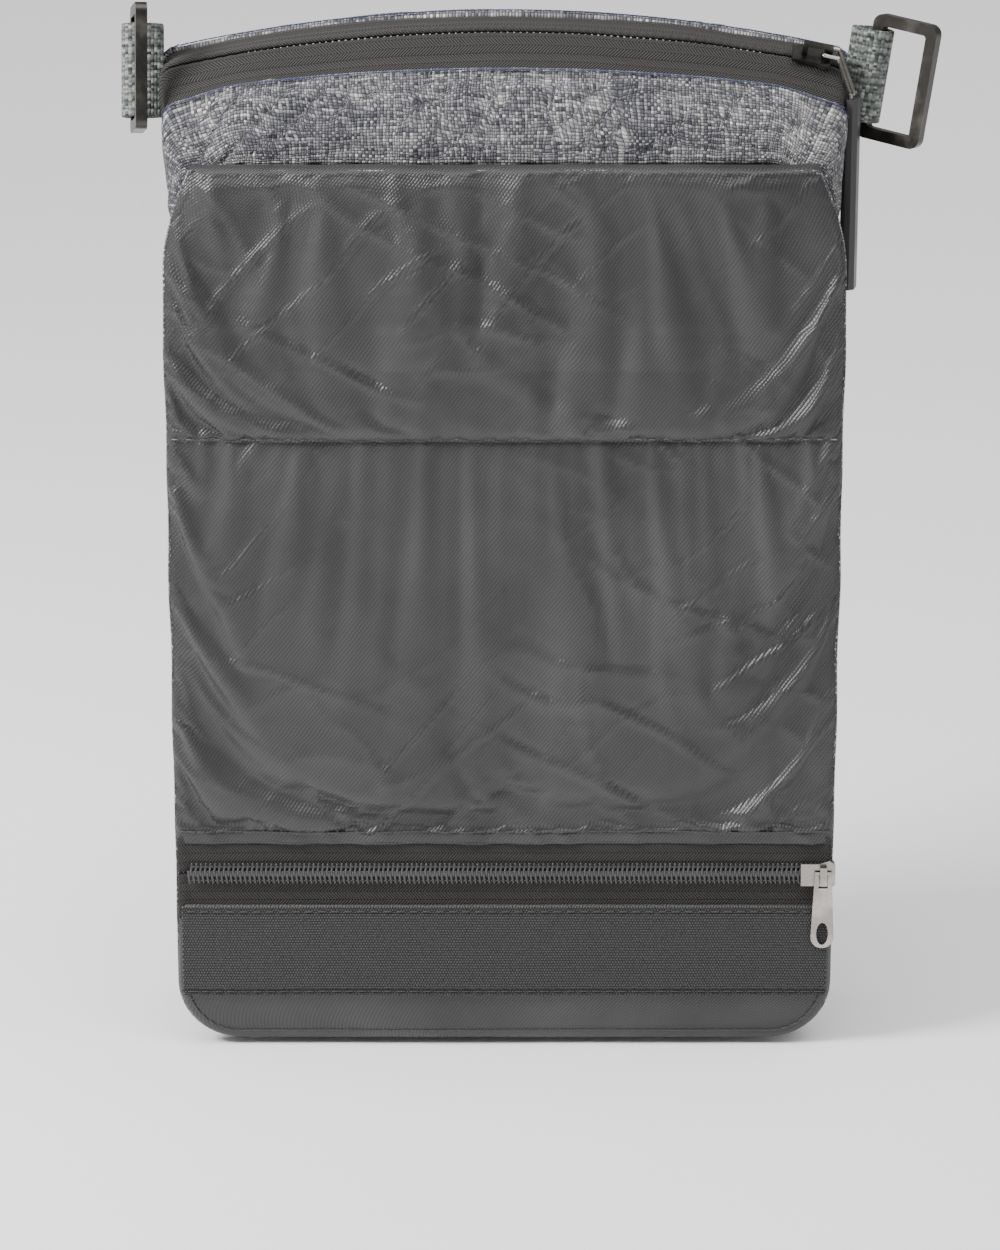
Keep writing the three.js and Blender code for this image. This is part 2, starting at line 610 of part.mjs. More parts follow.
const puller = new THREE.Group();
puller.position.set(FLAP_SLIDER_X + 1.6, FLAP_Y - 5.05, FLAP_ZIP_Z + 0.9);
bag.add(puller);
const PULLER = { length: 25.5, top: 5.4, bottom: 7.4, thick: 0.6, window: [3, 4.6], bar: 0.9 };
add("flap_zip_puller", tearDrop(PULLER), nickel, puller);

export default bag;
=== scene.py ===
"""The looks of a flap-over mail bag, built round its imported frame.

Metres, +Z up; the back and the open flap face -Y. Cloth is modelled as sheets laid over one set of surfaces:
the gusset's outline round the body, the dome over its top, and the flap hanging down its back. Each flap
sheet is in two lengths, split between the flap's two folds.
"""

import bisect
import json
import math

import bpy
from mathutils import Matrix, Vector, noise


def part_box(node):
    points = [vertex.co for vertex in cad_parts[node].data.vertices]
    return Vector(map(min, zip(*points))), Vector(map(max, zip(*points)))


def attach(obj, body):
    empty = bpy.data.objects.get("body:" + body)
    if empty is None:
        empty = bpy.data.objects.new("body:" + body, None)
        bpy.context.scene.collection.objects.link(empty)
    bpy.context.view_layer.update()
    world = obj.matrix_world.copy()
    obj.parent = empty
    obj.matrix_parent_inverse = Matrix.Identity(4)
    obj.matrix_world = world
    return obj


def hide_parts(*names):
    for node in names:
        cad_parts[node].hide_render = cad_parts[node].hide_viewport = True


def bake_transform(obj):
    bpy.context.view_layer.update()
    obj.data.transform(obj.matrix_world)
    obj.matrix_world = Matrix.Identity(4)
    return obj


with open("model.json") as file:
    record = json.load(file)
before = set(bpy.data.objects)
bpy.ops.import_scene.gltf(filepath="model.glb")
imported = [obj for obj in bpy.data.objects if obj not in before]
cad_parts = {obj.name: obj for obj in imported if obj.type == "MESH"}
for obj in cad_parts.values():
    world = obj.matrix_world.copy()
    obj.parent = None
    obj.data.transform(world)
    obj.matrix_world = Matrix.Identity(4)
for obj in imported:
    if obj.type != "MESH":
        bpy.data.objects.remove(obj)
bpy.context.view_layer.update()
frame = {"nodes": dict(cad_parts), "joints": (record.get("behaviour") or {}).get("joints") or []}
nodes = frame["nodes"]
joints = {j["name"]: j for j in frame["joints"]}

MM = 0.001


def low(node):
    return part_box(node)[0]


def high(node):
    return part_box(node)[1]


# ---- the body's driving sizes, from the frame ----
SEAM_Y = low("bottom_gusset").y
FRONT_Y = high("bottom_gusset").y
HALF_WIDTH = high("bottom_gusset").x
CORNER = high("bottom_gusset").z
STRAIGHT = HALF_WIDTH - CORNER
CORNER_Z = low("top_gusset_rear").z
SEAM_Z = CORNER_Z + CORNER
DOME_RISE = 41 * MM
DOME_REACH = 36 * MM
DOME_Y = SEAM_Y + DOME_REACH
ZIP_ARC_R = 510 * MM
ZIP_REAR = math.radians(134)
ZIP_FRONT = math.radians(93.2)
ZIP_ANGLE = (ZIP_REAR + ZIP_FRONT) / 2
FRONT_ANGLE = math.acos((FRONT_Y - DOME_Y) / DOME_REACH)
WAIST = 6 * MM
END_OUT = 29 * MM  # the padded ends stand out past the stiff parts, round the sewn ends of the loops
SQUARE = 14  # how square the dome's ends are: the power that joins their top and their side
ROUND_BY = math.radians(30)  # the corner is fully squared this far round it
TAPE_END = math.radians(50)  # the top zip's tapes end this far round the corner
CORNER_SPREAD = 1.6  # the top's corners take up this much more of t than their own length
TOP_ARC = CORNER * CORNER_SPREAD * math.pi / 2
TOP_HALF = STRAIGHT + TOP_ARC
LEG_Z = CORNER_Z - CORNER
CURVE = CORNER * math.pi / 2
U_LENGTH = 2 * LEG_Z + 2 * CURVE + 2 * STRAIGHT

# ---- the flap's ----
FLAP_Y = joints["flap_swing"]["pos_m"][1]
FOLD_TOP = joints["flap_top_fold"]["pos_m"][2]
FOLD_FRONT = joints["flap_front_fold"]["pos_m"][2]
FLAP_FOOT = low("flap_shell_front").z - 3 * MM  # the cloth hangs fuller than the stiff panel it rides
FLAP_HALF = high("flap_shell_front").x
FLAP_SEAM_HALF = 96.5 * MM
FLAP_CORNER = 20 * MM
SPLIT_Z = (FOLD_TOP + FOLD_FRONT) / 2
FLAP_ZIP_Z = (low("flap_zip_coil_lower").z + high("flap_zip_coil_upper").z) / 2
HOOK_LOW = low("hook_strip").z
HOOK_HIGH = high("hook_strip").z
HOOK_HALF = high("hook_strip").x
POCKET_LOW = low("flap_pocket_panel").z
LOOP_LOW = low("loop_strip")
LOOP_HIGH = high("loop_strip")

# ---- settling ----
SETTLE_FRAMES = 22
SETTLE_SCALE = 10  # the simulation works at this many times life size
SETTLE_SIDEWAYS = 1.5 * MM  # the most a point may slide along its own cloth


# ---------------------------------------------------------------- materials
class Shade:
    """A material's nodes, one call for each."""

    def __init__(self, name):
        self.material = bpy.data.materials.new(name)
        self.material.use_nodes = True
        self.tree = self.material.node_tree
        self.out = self.tree.nodes["Principled BSDF"]
        self.place = self.tree.nodes.new("ShaderNodeTexCoord")

    def set(self, socket, value):
        if isinstance(value, bpy.types.NodeSocket):
            self.tree.links.new(value, socket)
        else:
            socket.default_value = value

    def math(self, operation, a, b=0.0):
        node = self.tree.nodes.new("ShaderNodeMath")
        node.operation = operation
        self.set(node.inputs[0], a)
        self.set(node.inputs[1], b)
        return node.outputs[0]

    def times(self, a, b):
        return self.math("MULTIPLY", a, b)

    def plus(self, a, b):
        return self.math("ADD", a, b)

    def minus(self, a, b):
        return self.math("SUBTRACT", a, b)

    def hump(self, count):
        """0 at each whole number and 1 half way between them: the round back of a yarn."""
        return self.math("SINE", self.times(self.math("FRACT", count), math.pi))

    def flat(self, pitch_u, pitch_v, turn=0.0):
        """The cloth's own flat coordinates, counted in yarns, turned by an angle."""
        split = self.tree.nodes.new("ShaderNodeSeparateXYZ")
        self.set(split.inputs[0], self.place.outputs["UV"])
        u, v = split.outputs[0], split.outputs[1]
        c, s = math.cos(turn), math.sin(turn)
        across = self.plus(self.times(u, c), self.times(v, s))
        along = self.minus(self.times(v, c), self.times(u, s))
        return self.math("DIVIDE", across, pitch_u), self.math("DIVIDE", along, pitch_v)

    def vector(self, x, y, z=0.0):
        node = self.tree.nodes.new("ShaderNodeCombineXYZ")
        for socket, value in zip(node.inputs, (x, y, z)):
            self.set(socket, value)
        return node.outputs[0]

    def noise(self, vector, scale, detail=2.0, rough=0.5):
        node = self.tree.nodes.new("ShaderNodeTexNoise")
        self.set(node.inputs["Vector"], vector)
        self.set(node.inputs["Scale"], scale)
        self.set(node.inputs["Detail"], detail)
        self.set(node.inputs["Roughness"], rough)
        return node.outputs["Fac"]

    def ramp(self, value, stops):
        node = self.tree.nodes.new("ShaderNodeValToRGB")
        self.set(node.inputs[0], value)
        elements = node.color_ramp.elements
        while len(elements) < len(stops):
            elements.new(0.5)
        for element, (place, colour) in zip(elements, stops):
            element.position = place
            element.color = (*colour, 1) if len(colour) == 3 else colour
        return node.outputs[0]

    def grey(self, value, stops):
        return self.ramp(value, [(place, (g, g, g)) for place, g in stops])

    def mix(self, share, a, b, blend="MIX"):
        node = self.tree.nodes.new("ShaderNodeMix")
        node.data_type = "RGBA"
        node.blend_type = blend
        self.set(node.inputs["Factor"], share)
        for socket, value in ((node.inputs[6], a), (node.inputs[7], b)):
            self.set(socket, (*value, 1) if isinstance(value, tuple) else value)
        return node.outputs[2]

    def bump(self, height, distance, strength=1.0, under=None):
        node = self.tree.nodes.new("ShaderNodeBump")
        self.set(node.inputs["Height"], height)
        node.inputs["Distance"].default_value = distance
        node.inputs["Strength"].default_value = strength
        if under is not None:
            self.set(node.inputs["Normal"], under)
        return node.outputs[0]

    def finish(self, colour, rough, normal=None, metal=0.0, sheen=0.0, specular=0.5):
        self.set(self.out.inputs["Base Color"], (*colour, 1) if isinstance(colour, tuple) else colour)
        self.set(self.out.inputs["Roughness"], rough)
        self.out.inputs["Metallic"].default_value = metal
        self.out.inputs["Sheen Weight"].default_value = sheen
        self.out.inputs["Specular IOR Level"].default_value = specular
        if normal is not None:
            self.set(self.out.inputs["Normal"], normal)
        return self.material


def melange_cloth():
    """Plain weave of slubby two-tone yarns, off-white and navy-charcoal, over thin foam."""
    s = Shade("melange_cloth")
    yarn = 1.0 * MM
    u, v = s.flat(yarn, yarn)
    waver = s.noise(s.vector(u, v), 0.07, 2)
    u = s.plus(u, s.times(waver, 1.6))
    v = s.plus(v, s.times(waver, -1.3))
    warp, weft = s.math("FLOOR", u), s.math("FLOOR", v)
    over = s.math("FLOORED_MODULO", s.plus(warp, weft), 2.0)
    under = s.minus(1.0, over)
    warp_tone = s.noise(s.vector(s.times(warp, 3.17), s.times(v, 0.09)), 1.0, 4, 0.75)
    weft_tone = s.noise(s.vector(s.times(u, 0.09), s.times(weft, 3.17), 5.3), 1.0, 4, 0.75)
    tone = s.plus(s.times(warp_tone, over), s.times(weft_tone, under))
    broad = s.noise(s.vector(u, s.times(v, 0.35)), 0.035, 2)
    tone = s.plus(tone, s.times(s.minus(broad, 0.5), 0.22))
    stops = [
        (0.34, (0.036, 0.036, 0.046)),
        (0.46, (0.110, 0.110, 0.124)),
        (0.56, (0.290, 0.285, 0.290)),
        (0.68, (0.640, 0.620, 0.600)),
    ]
    colour = s.ramp(tone, stops)
    across_u = s.hump(u)
    across_v = s.hump(v)
    warp_high = s.times(across_u, s.math("POWER", across_v, 0.35))
    weft_high = s.times(across_v, s.math("POWER", across_u, 0.35))
    height = s.plus(s.times(warp_high, over), s.times(weft_high, under))
    fuzz = s.noise(s.vector(u, v), 2.6, 3, 0.7)
    height = s.plus(height, s.times(fuzz, 0.5))
    # Painted shade: the colour is darkened where the yarns dip, in the hollows between them.
    colour = s.mix(1.0, colour, s.grey(height, [(0.25, 0.22), (0.85, 1.0)]), "MULTIPLY")
    normal = s.bump(height, 0.5 * MM, 0.9)
    return s.finish(colour, 0.93, normal, sheen=0.08, specular=0.15)


def twill_lining():
    """Charcoal nylon twill: fine diagonal ribs with a dull shine."""
    s = Shade("twill_lining")
    rib = 1.0 * MM
    u, v = s.flat(rib, rib, math.radians(-38))
    waver = s.noise(s.vector(u, v), 0.04, 2)
    line = s.plus(u, s.times(waver, 0.8))
    ribs = s.hump(line)
    step = s.math("FRACT", s.plus(s.times(v, 0.9), s.times(s.math("FLOOR", line), 0.5)))
    picks = s.math("SINE", s.times(step, math.pi))
    height = s.times(ribs, s.plus(s.times(picks, 0.5), 0.5))
    cloud = s.noise(s.vector(u, v), 0.02, 3)
    colour = s.ramp(cloud, [(0.35, (0.014, 0.014, 0.0145)), (0.65, (0.030, 0.030, 0.031))])
    # Painted shade and painted highlight: the colour is darkened in the grooves between the ribs and
    # lightened on their crests.
    colour = s.mix(1.0, colour, s.grey(height, [(0.05, 0.30), (0.7, 1.35)]), "MULTIPLY")
    rough = s.grey(s.noise(s.vector(u, v), 0.03, 2), [(0.3, 0.36), (0.7, 0.48)])
    return s.finish(colour, rough, s.bump(height, 0.14 * MM, 0.8), sheen=0.05, specular=0.55)


def zip_tape():
    """Woven zip tape: short diagonal ribs that change direction from column to column."""
    s = Shade("zip_tape")
    u, v = s.flat(1.0 * MM, 3.0 * MM)
    zigzag = s.math("PINGPONG", v, 1.0)
    line = s.plus(u, s.times(zigzag, 2.6))
    ribs = s.hump(line)
    fibre = s.noise(s.vector(u, s.times(v, 4)), 1.3, 3, 0.6)
    from_middle = s.math("ABSOLUTE", s.minus(s.math("FRACT", v), 0.5))
    groove = s.grey(from_middle, [(0.42, 1.0), (0.5, 0.55)])
    height = s.times(s.plus(ribs, s.times(fibre, 0.4)), groove)
    # The colour is taken from the relief: painted shade in the grooves and between the ribs, painted
    # highlight on the rib tops.
    stops = [(0.2, (0.004, 0.004, 0.004)), (0.8, (0.018, 0.017, 0.016)), (1.0, (0.046, 0.043, 0.040))]
    colour = s.ramp(height, stops)
    return s.finish(colour, 0.75, s.bump(height, 0.3 * MM, 0.9), sheen=0.05, specular=0.25)


def webbing_cloth():
    """Ribbed webbing in the body's melange yarns, a little greener."""
    s = Shade("webbing_cloth")
    u, v = s.flat(1.1 * MM, 2.4 * MM)
    ribs = s.hump(v)
    picks = s.hump(u)
    column = s.math("FLOOR", s.times(v, 3.0))
    tone = s.noise(s.vector(s.times(column, 3.17), s.times(s.math("FLOOR", u), 0.83)), 1.0, 1)
    stops = [(0.34, (0.04, 0.045, 0.045)), (0.5, (0.13, 0.145, 0.135)), (0.66, (0.30, 0.31, 0.28))]
    colour = s.ramp(tone, stops)
    height = s.plus(ribs, s.times(picks, 0.45))
    # Painted shade: the colour is darkened in the grooves between the ribs and picks.
    colour = s.mix(1.0, colour, s.grey(height, [(0.15, 0.35), (0.9, 1.0)]), "MULTIPLY")
    return s.finish(colour, 0.85, s.bump(height, 0.4 * MM, 0.9), sheen=0.1, specular=0.25)


def hook_cloth(name, grain):
    """A hook-and-loop strip: rows of tiny tufts."""
    s = Shade(name)
    u, v = s.flat(grain, grain)
    row = s.math("FLOOR", v)
    shifted = s.plus(u, s.times(row, 0.5))
    tuft = s.times(s.hump(shifted), s.hump(v))
    ragged = s.noise(s.vector(u, v), 1.1, 3, 0.7)
    height = s.plus(tuft, s.times(ragged, 0.7))
    # The colour is taken from the relief: painted shade low between the tufts, painted highlight on their
    # tops.
    colour = s.grey(height, [(0.3, 0.005), (0.8, 0.020), (1.0, 0.060)])
    return s.finish(colour, 0.8, s.bump(height, 0.4 * MM, 0.9), sheen=0.15, specular=0.3)


def metal(name, colour, rough, wear):
    """Cast and plated metal, with fine brushing and rubbed patches."""
    s = Shade(name)
    place = s.place.outputs["Object"]
    patches = s.noise(place, 90.0, 4, 0.6)
    grain = s.noise(place, 900.0, 3, 0.6)
    rubbed = s.grey(patches, [(0.48, 0.0), (0.66, 1.0)])
    tint = s.mix(rubbed, colour, wear)
    roughness = s.grey(s.plus(s.times(patches, 0.5), s.times(grain, 0.5)),
                       [(0.35, rough - 0.08), (0.65, rough + 0.1)])
    return s.finish(tint, roughness, s.bump(grain, 0.03 * MM, 0.5), metal=1.0)


def plastic(name, colour, rough):
    """Moulded plastic with a fine spark texture and rubbed high spots."""
    s = Shade(name)
    place = s.place.outputs["Object"]
    fine = s.noise(place, 1400.0, 2)
    cloud = s.noise(place, 60.0, 3)
    light = tuple(1.5 * c for c in colour)
    tint = s.mix(s.grey(cloud, [(0.4, 0.0), (0.7, 0.6)]), colour, light)
    roughness = s.grey(cloud, [(0.3, rough - 0.06), (0.7, rough + 0.08)])
    return s.finish(tint, roughness, s.bump(fine, 0.03 * MM, 0.6))


def foam_board():
    s = Shade("foam_board")
    place = s.place.outputs["Object"]
    cells = s.noise(place, 700.0, 4, 0.7)
    colour = s.ramp(cells, [(0.35, (0.02, 0.02, 0.021)), (0.7, (0.06, 0.06, 0.062))])
    return s.finish(colour, 0.9, s.bump(cells, 0.3 * MM, 0.8))


def thread(name, colour):
    s = Shade(name)
    twist = s.noise(s.place.outputs["Object"], 2400.0, 2)
    light = tuple(min(1, 1.7 * c) for c in colour)
    tint = s.mix(s.grey(twist, [(0.35, 0.0), (0.7, 1.0)]), colour, light)
    return s.finish(tint, 0.6, s.bump(twist, 0.05 * MM, 0.8), sheen=0.1)


MELANGE = melange_cloth()
TWILL = twill_lining()
TAPE = zip_tape()
WEBBING = webbing_cloth()
HOOK = hook_cloth("hook_tape", 0.9 * MM)
LOOP = hook_cloth("loop_tape", 0.6 * MM)
GUNMETAL = metal("gunmetal", (0.060, 0.056, 0.052), 0.36, (0.115, 0.106, 0.094))
NICKEL = metal("nickel", (0.30, 0.28, 0.26), 0.3, (0.46, 0.43, 0.40))
PULL_PLASTIC = plastic("pull_plastic", (0.026, 0.026, 0.027), 0.42)
COIL_PLASTIC = plastic("coil_plastic", (0.035, 0.035, 0.037), 0.25)
# The top chain: a far lighter copy of the dark coil plastic, a painted glint.
CHAIN_PAINTED_GLINT = plastic("chain_painted_glint", (0.30, 0.29, 0.27), 0.35)
FOAM = foam_board()
DARK_THREAD = thread("dark_thread", (0.022, 0.022, 0.023))
GREY_THREAD = thread("grey_thread", (0.11, 0.11, 0.115))
NAVY_THREAD = thread("navy_thread", (0.020, 0.030, 0.085))


# ---------------------------------------------------------------- mesh helpers
def side_word(side):
    return "left" if side < 0 else "right"


def placed(name, data):
    """A new object of this mesh, light or camera, in the scene."""
    obj = bpy.data.objects.new(name, data)
    bpy.context.scene.collection.objects.link(obj)
    return obj


def wear(obj, material):
    obj.data.materials.clear()
    obj.data.materials.append(material)


def new_object(name, mesh, material, smooth=True):
    obj = placed(name, mesh)
    wear(obj, material)
    if smooth:
        obj.data.shade_smooth()
    return obj


def grid_faces(wide, deep):
    """The cells of a grid of wide by deep points, counted row by row."""
    return [
        (j * wide + i, j * wide + i + 1, (j + 1) * wide + i + 1, (j + 1) * wide + i)
        for j in range(deep - 1)
        for i in range(wide - 1)
    ]


def walked(points):
    """How far along a line of points each of them is."""
    far = [0.0]
    for a, b in zip(points, points[1:]):
        far.append(far[-1] + (b - a).length)
    return far


def cloth(name, point, us, vs, material, thick=0.0):
    """A sheet whose grid is point(u, v), with flat coordinates in metres measured along its middle lines."""
    grid = [[point(u, v) for u in us] for v in vs]
    wide = len(us)
    flat_u = walked(grid[len(vs) // 2])
    flat_v = walked([row[wide // 2] for row in grid])
    mesh = bpy.data.meshes.new(name)
    mesh.from_pydata([p for row in grid for p in row], [], grid_faces(wide, len(vs)))
    layer = mesh.uv_layers.new(name="flat")
    for loop in mesh.loops:
        j, i = divmod(loop.vertex_index, wide)
        layer.data[loop.index].uv = (flat_u[i], flat_v[j])
    obj = new_object(name, mesh, material)
    if thick:
        shell = obj.modifiers.new("thick", "SOLIDIFY")
        shell.thickness = thick
        shell.offset = -1
    return obj


def steps(a, b, n):
    return [a + (b - a) * i / n for i in range(n + 1)]


def joined(name, parts, material):
    """One object from (vertices, faces) lists."""
    verts, faces = [], []
    for more, rings in parts:
        start = len(verts)
        verts += more
        faces += [tuple(start + k for k in ring) for ring in rings]
    mesh = bpy.data.meshes.new(name)
    mesh.from_pydata(verts, [], faces)
    obj = new_object(name, mesh, material)
    return obj


def capsule(start, end, radius, side=None, squeeze=1.0, sides=6):
    """A stubby rounded rod from start to end, as (vertices, faces); squeeze flattens it across `side`."""
    way = (end - start).normalized()
    side = (side or way.orthogonal()).normalized()
    other = way.cross(side)
    rings = [(-0.9, 0.35), (-0.45, 0.86), (0.0, 1.0), (1.0, 1.0), (1.45, 0.86), (1.9, 0.35)]
    verts = []
    for place, size in rings:
        if place <= 0:
            centre = start + way * radius * place
        else:
            centre = end + way * radius * (place - 1)
        for k in range(sides):
            a = 2 * math.pi * k / sides
            verts.append(centre + (side * math.cos(a) * squeeze + other * math.sin(a)) * radius * size)
    faces = []
    for r in range(len(rings) - 1):
        for k in range(sides):
            n = (k + 1) % sides
            faces.append((r * sides + k, r * sides + n, (r + 1) * sides + n, (r + 1) * sides + k))
    faces.append(tuple(reversed(range(sides))))
    faces.append(tuple((len(rings) - 1) * sides + k for k in range(sides)))
    return verts, faces


def stitches(name, route, material, body, pitch=3.0 * MM, share=0.72, radius=0.28 * MM):
    """A row of stitches: short thread dashes along a line of points, each sunk a little at its ends."""
    parts = []
    gone, next_at = 0.0, 0.0
    for a, b in zip(route, route[1:]):
        length = (b - a).length
        while next_at < gone + length:
            t = (next_at - gone) / length
            start = a.lerp(b, t)
            end = start + (b - a).normalized() * pitch * share
            parts.append(capsule(start, end, radius))
            next_at += pitch
        gone += length
    obj = joined(name, parts, material)
    if body:
        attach(obj, body)
    return obj


def ripple(x, y, z, size, seed=0.0):
    return noise.noise(Vector((x / size + seed, y / size, z / size)))


def ridge(x, z, width, length, turn, seed):
    """A wrinkle field: 1 on a crease line, falling to 0 beside it."""
    c, s = math.cos(turn), math.sin(turn)
    value = noise.noise(Vector(((x * c + z * s) / width + seed, (z * c - x * s) / length, seed)))
    return max(0.0, 1 - abs(value) * 3.2) ** 2


def near(distance, width):
    return math.exp(-((distance / width) ** 2))


def settled(point, us, vs, slack, pressure, drop, out_limit, in_limit, sewn=()):
    """point(u, v) after its cloth has settled: sewn round its border and along the rows in `sewn`, longer
    than its place by `slack`, and held by what lies in front of and behind it."""
    wide = len(us)
    start = [point(u, v) * SETTLE_SCALE for v in vs for u in us]
    mesh = bpy.data.meshes.new("settling")
    mesh.from_pydata(start, [], grid_faces(wide, len(vs)))
    obj = placed("settling", mesh)
    rows_held = (0, len(vs) - 1, *sewn)
    held = [k for k in range(len(start)) if k % wide in (0, wide - 1) or k // wide in rows_held]
    obj.vertex_groups.new(name="held").add(held, 1.0, "REPLACE")
    cloth_step = obj.modifiers.new("cloth", "CLOTH")
    rules = cloth_step.settings
    rules.quality = 5
    rules.mass = 0.3
    rules.tension_stiffness = rules.compression_stiffness = 20
    rules.shear_stiffness = 8
    rules.bending_stiffness = 0.4
    rules.vertex_group_mass = "held"
    rules.shrink_min = -slack
    rules.use_pressure = pressure > 0
    rules.uniform_pressure_force = pressure
    cloth_step.collision_settings.use_collision = False
    scene = bpy.context.scene
    gravity = scene.gravity.copy()
    scene.gravity = (0, 0, -drop)
    for moment in range(1, SETTLE_FRAMES + 1):
        scene.frame_set(moment)
    shape = obj.evaluated_get(bpy.context.evaluated_depsgraph_get()).data
    moved = [(shape.vertices[k].co - start[k]) / SETTLE_SCALE for k in range(len(start))]
    scene.gravity = gravity
    scene.frame_set(1)
    bpy.data.objects.remove(obj)
    rows = []
    for j in range(len(vs)):
        for i in range(wide):
            out = outward(point, us, vs, i, j)
            move = moved[j * wide + i]
            depth = move.dot(out)
            limit = out_limit if depth > 0 else in_limit
            across = move - out * depth
            across = across * min(1, SETTLE_SIDEWAYS / max(across.length, 1e-9))
            rows.append(across + out * limit * math.tanh(depth / limit))

    def after(u, v):
        i = min(max(bisect.bisect_right(us, u) - 1, 0), wide - 2)
        j = min(max(bisect.bisect_right(vs, v) - 1, 0), len(vs) - 2)
        s = min(1, max(0, (u - us[i]) / (us[i + 1] - us[i])))
        t = min(1, max(0, (v - vs[j]) / (vs[j + 1] - vs[j])))
        near_row = rows[j * wide + i].lerp(rows[j * wide + i + 1], s)
        far_row = rows[(j + 1) * wide + i].lerp(rows[(j + 1) * wide + i + 1], s)
        return point(u, v) + near_row.lerp(far_row, t)

    return after


def outward(point, us, vs, i, j):
    """Unit normal of the grid at one of its places, on the side a counter-clockwise cell faces."""
    a, b = max(i - 1, 0), min(i + 1, len(us) - 1)
    c, d = max(j - 1, 0), min(j + 1, len(vs) - 1)
    across = point(us[b], vs[j]) - point(us[a], vs[j])
    along = point(us[i], vs[d]) - point(us[i], vs[c])
    return across.cross(along).normalized()


# ---------------------------------------------------------------- the body's surfaces
def zip_lift(x):
    return (ZIP_ARC_R - math.sqrt(ZIP_ARC_R**2 - x**2)) / math.sin(ZIP_ANGLE)


def corner_radius(a, rise):
    """Radius of the body's upper corner, a radians round it, where the dome stands `rise` high."""
    low_r = CORNER - WAIST * rise
    held = min(a, math.radians(80))
    x = STRAIGHT + min(END_OUT + 2 * MM, (CORNER + rise * 30 * MM) * math.tan(held))
    top = (CORNER + rise * (DOME_RISE - zip_lift(x))) / math.cos(held)
    side = (low_r + 1.2 * (END_OUT - low_r) * math.cos(a) ** 2) / math.sin(a)
    least = min(top, side)
    squared = least * ((top / least) ** -SQUARE + (side / least) ** -SQUARE) ** (-1 / SQUARE)
    plain = 1 - smooth_step(0, ROUND_BY, a) * (1 - math.sin(rise * math.pi / 2))
    return CORNER + (squared - CORNER) * plain


def over_top(t, angle):
    """The top gusset: t from 0 at the left end to 1 at the right, angle round the dome from rear to front."""
    q = (2 * t - 1) * TOP_HALF
    side = 1 if q >= 0 else -1
    rise = math.sin(angle)
    y = DOME_Y + DOME_REACH * math.cos(angle)
    if abs(q) <= STRAIGHT:
        return Vector((q, y, SEAM_Z + rise * (DOME_RISE - zip_lift(q))))
    a = (abs(q) - STRAIGHT) / TOP_ARC * math.pi / 2
    r = corner_radius(max(a, 1e-6), rise)
    return Vector((side * (STRAIGHT + r * math.sin(a)), y, CORNER_Z + r * math.cos(a)))


def dome_out(t, angle):
    """Unit normal of the top at one of its places, out of the bag."""
    h = 1e-3
    along = over_top(min(1, t + h), angle) - over_top(max(0, t - h), angle)
    around = over_top(t, angle - h) - over_top(t, angle + h)
    return along.cross(around).normalized()


def smooth_step(a, b, t):
    k = min(1, max(0, (t - a) / (b - a)))
    return k * k * (3 - 2 * k)


def side_half(y, z):
    rise = math.sqrt(max(0, 1 - ((y - DOME_Y) / DOME_REACH) ** 2))
    waist = smooth_step(CORNER, 90 * MM, z) * (0.4 + 0.6 * smooth_step(190 * MM, CORNER_Z, z))
    return HALF_WIDTH - rise * WAIST * waist


def round_under(t, y):
    """The strip down the left side, under the base and up the right: t from 0 to 1 along it."""
    s = t * U_LENGTH
    side = -1
    if s > U_LENGTH / 2:
        s = U_LENGTH - s
        side = 1
    if s < LEG_Z:
        z = CORNER_Z - s
        return Vector((side * side_half(y, z), y, z))
    if s < LEG_Z + CURVE:
        a = (s - LEG_Z) / CORNER
        return Vector((side * (STRAIGHT + CORNER * math.cos(a)), y, CORNER - CORNER * math.sin(a)))
    return Vector((side * (STRAIGHT - (s - LEG_Z - CURVE)), y, 0))


def seam_valley(distance):
    """How far cloth dips where it turns in to a seam."""
    return -1.3 * MM * near(distance, 2.2 * MM)


def gusset_side():
    def point(t, y):
        p = round_under(t, y)
        if p.z < 1 * MM:
            return p
        if p.z > CORNER:
            out = Vector((math.copysign(1, p.x), 0, 0))
        else:
            out = p - Vector((p.x * STRAIGHT / HALF_WIDTH, 0, CORNER))
            out = Vector((out.x, 0, min(out.z, -1e-6))).normalized()
        depth = min(y - SEAM_Y, FRONT_Y - y)
        up = smooth_step(2 * MM, 30 * MM, p.z)
        swell = 1.2 * MM * ripple(p.x, y, p.z, 45 * MM) * up
        crease = 0.9 * MM * ridge(y, p.z, 9 * MM, 60 * MM, 0.5 * math.copysign(1, p.x), 3.1) * up
        return p + out * (seam_valley(depth) + (swell - crease) * smooth_step(0, 8 * MM, depth))

    ts = steps(0, 1, 150)
    ys = [SEAM_Y + (FRONT_Y - SEAM_Y) * (0.5 - 0.5 * math.cos(math.pi * i / 16)) for i in range(17)]
    obj = cloth("side_and_base_gusset", point, ts, ys, MELANGE, thick=-1.8 * MM)
    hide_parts("bottom_gusset", "side_gusset_left", "side_gusset_right")
    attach(obj, "bag")


def zip_end(side):
    """The melange panel past one end of the top zip, down to the top of the side gusset."""
    lap = 0.05  # radians tucked under its neighbours

    def point(a, angle):
        t = (side * (STRAIGHT + TOP_ARC * a / (math.pi / 2)) / TOP_HALF + 1) / 2
        p = over_top(t, angle)
        out = Vector((side * math.sin(a), 0, math.cos(a)))
        swell = math.sin((a - TAPE_END) / (math.pi / 2 - TAPE_END) * math.pi) if a > TAPE_END else 0
        return p + out * (0.5 * MM * swell + 0.4 * MM * ripple(p.x, p.y, p.z, 12 * MM, 3.3))

    corners = steps(TAPE_END - lap, math.pi / 2, 24)
    angles = steps(ZIP_REAR + lap, ZIP_FRONT - lap, 18)
    if side < 0:
        corners.reverse()
    obj = cloth("zip_end_" + side_word(side), point, corners, angles, MELANGE, thick=1.6 * MM)
    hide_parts("zip_end_panel_" + side_word(side))
    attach(obj, "bag")


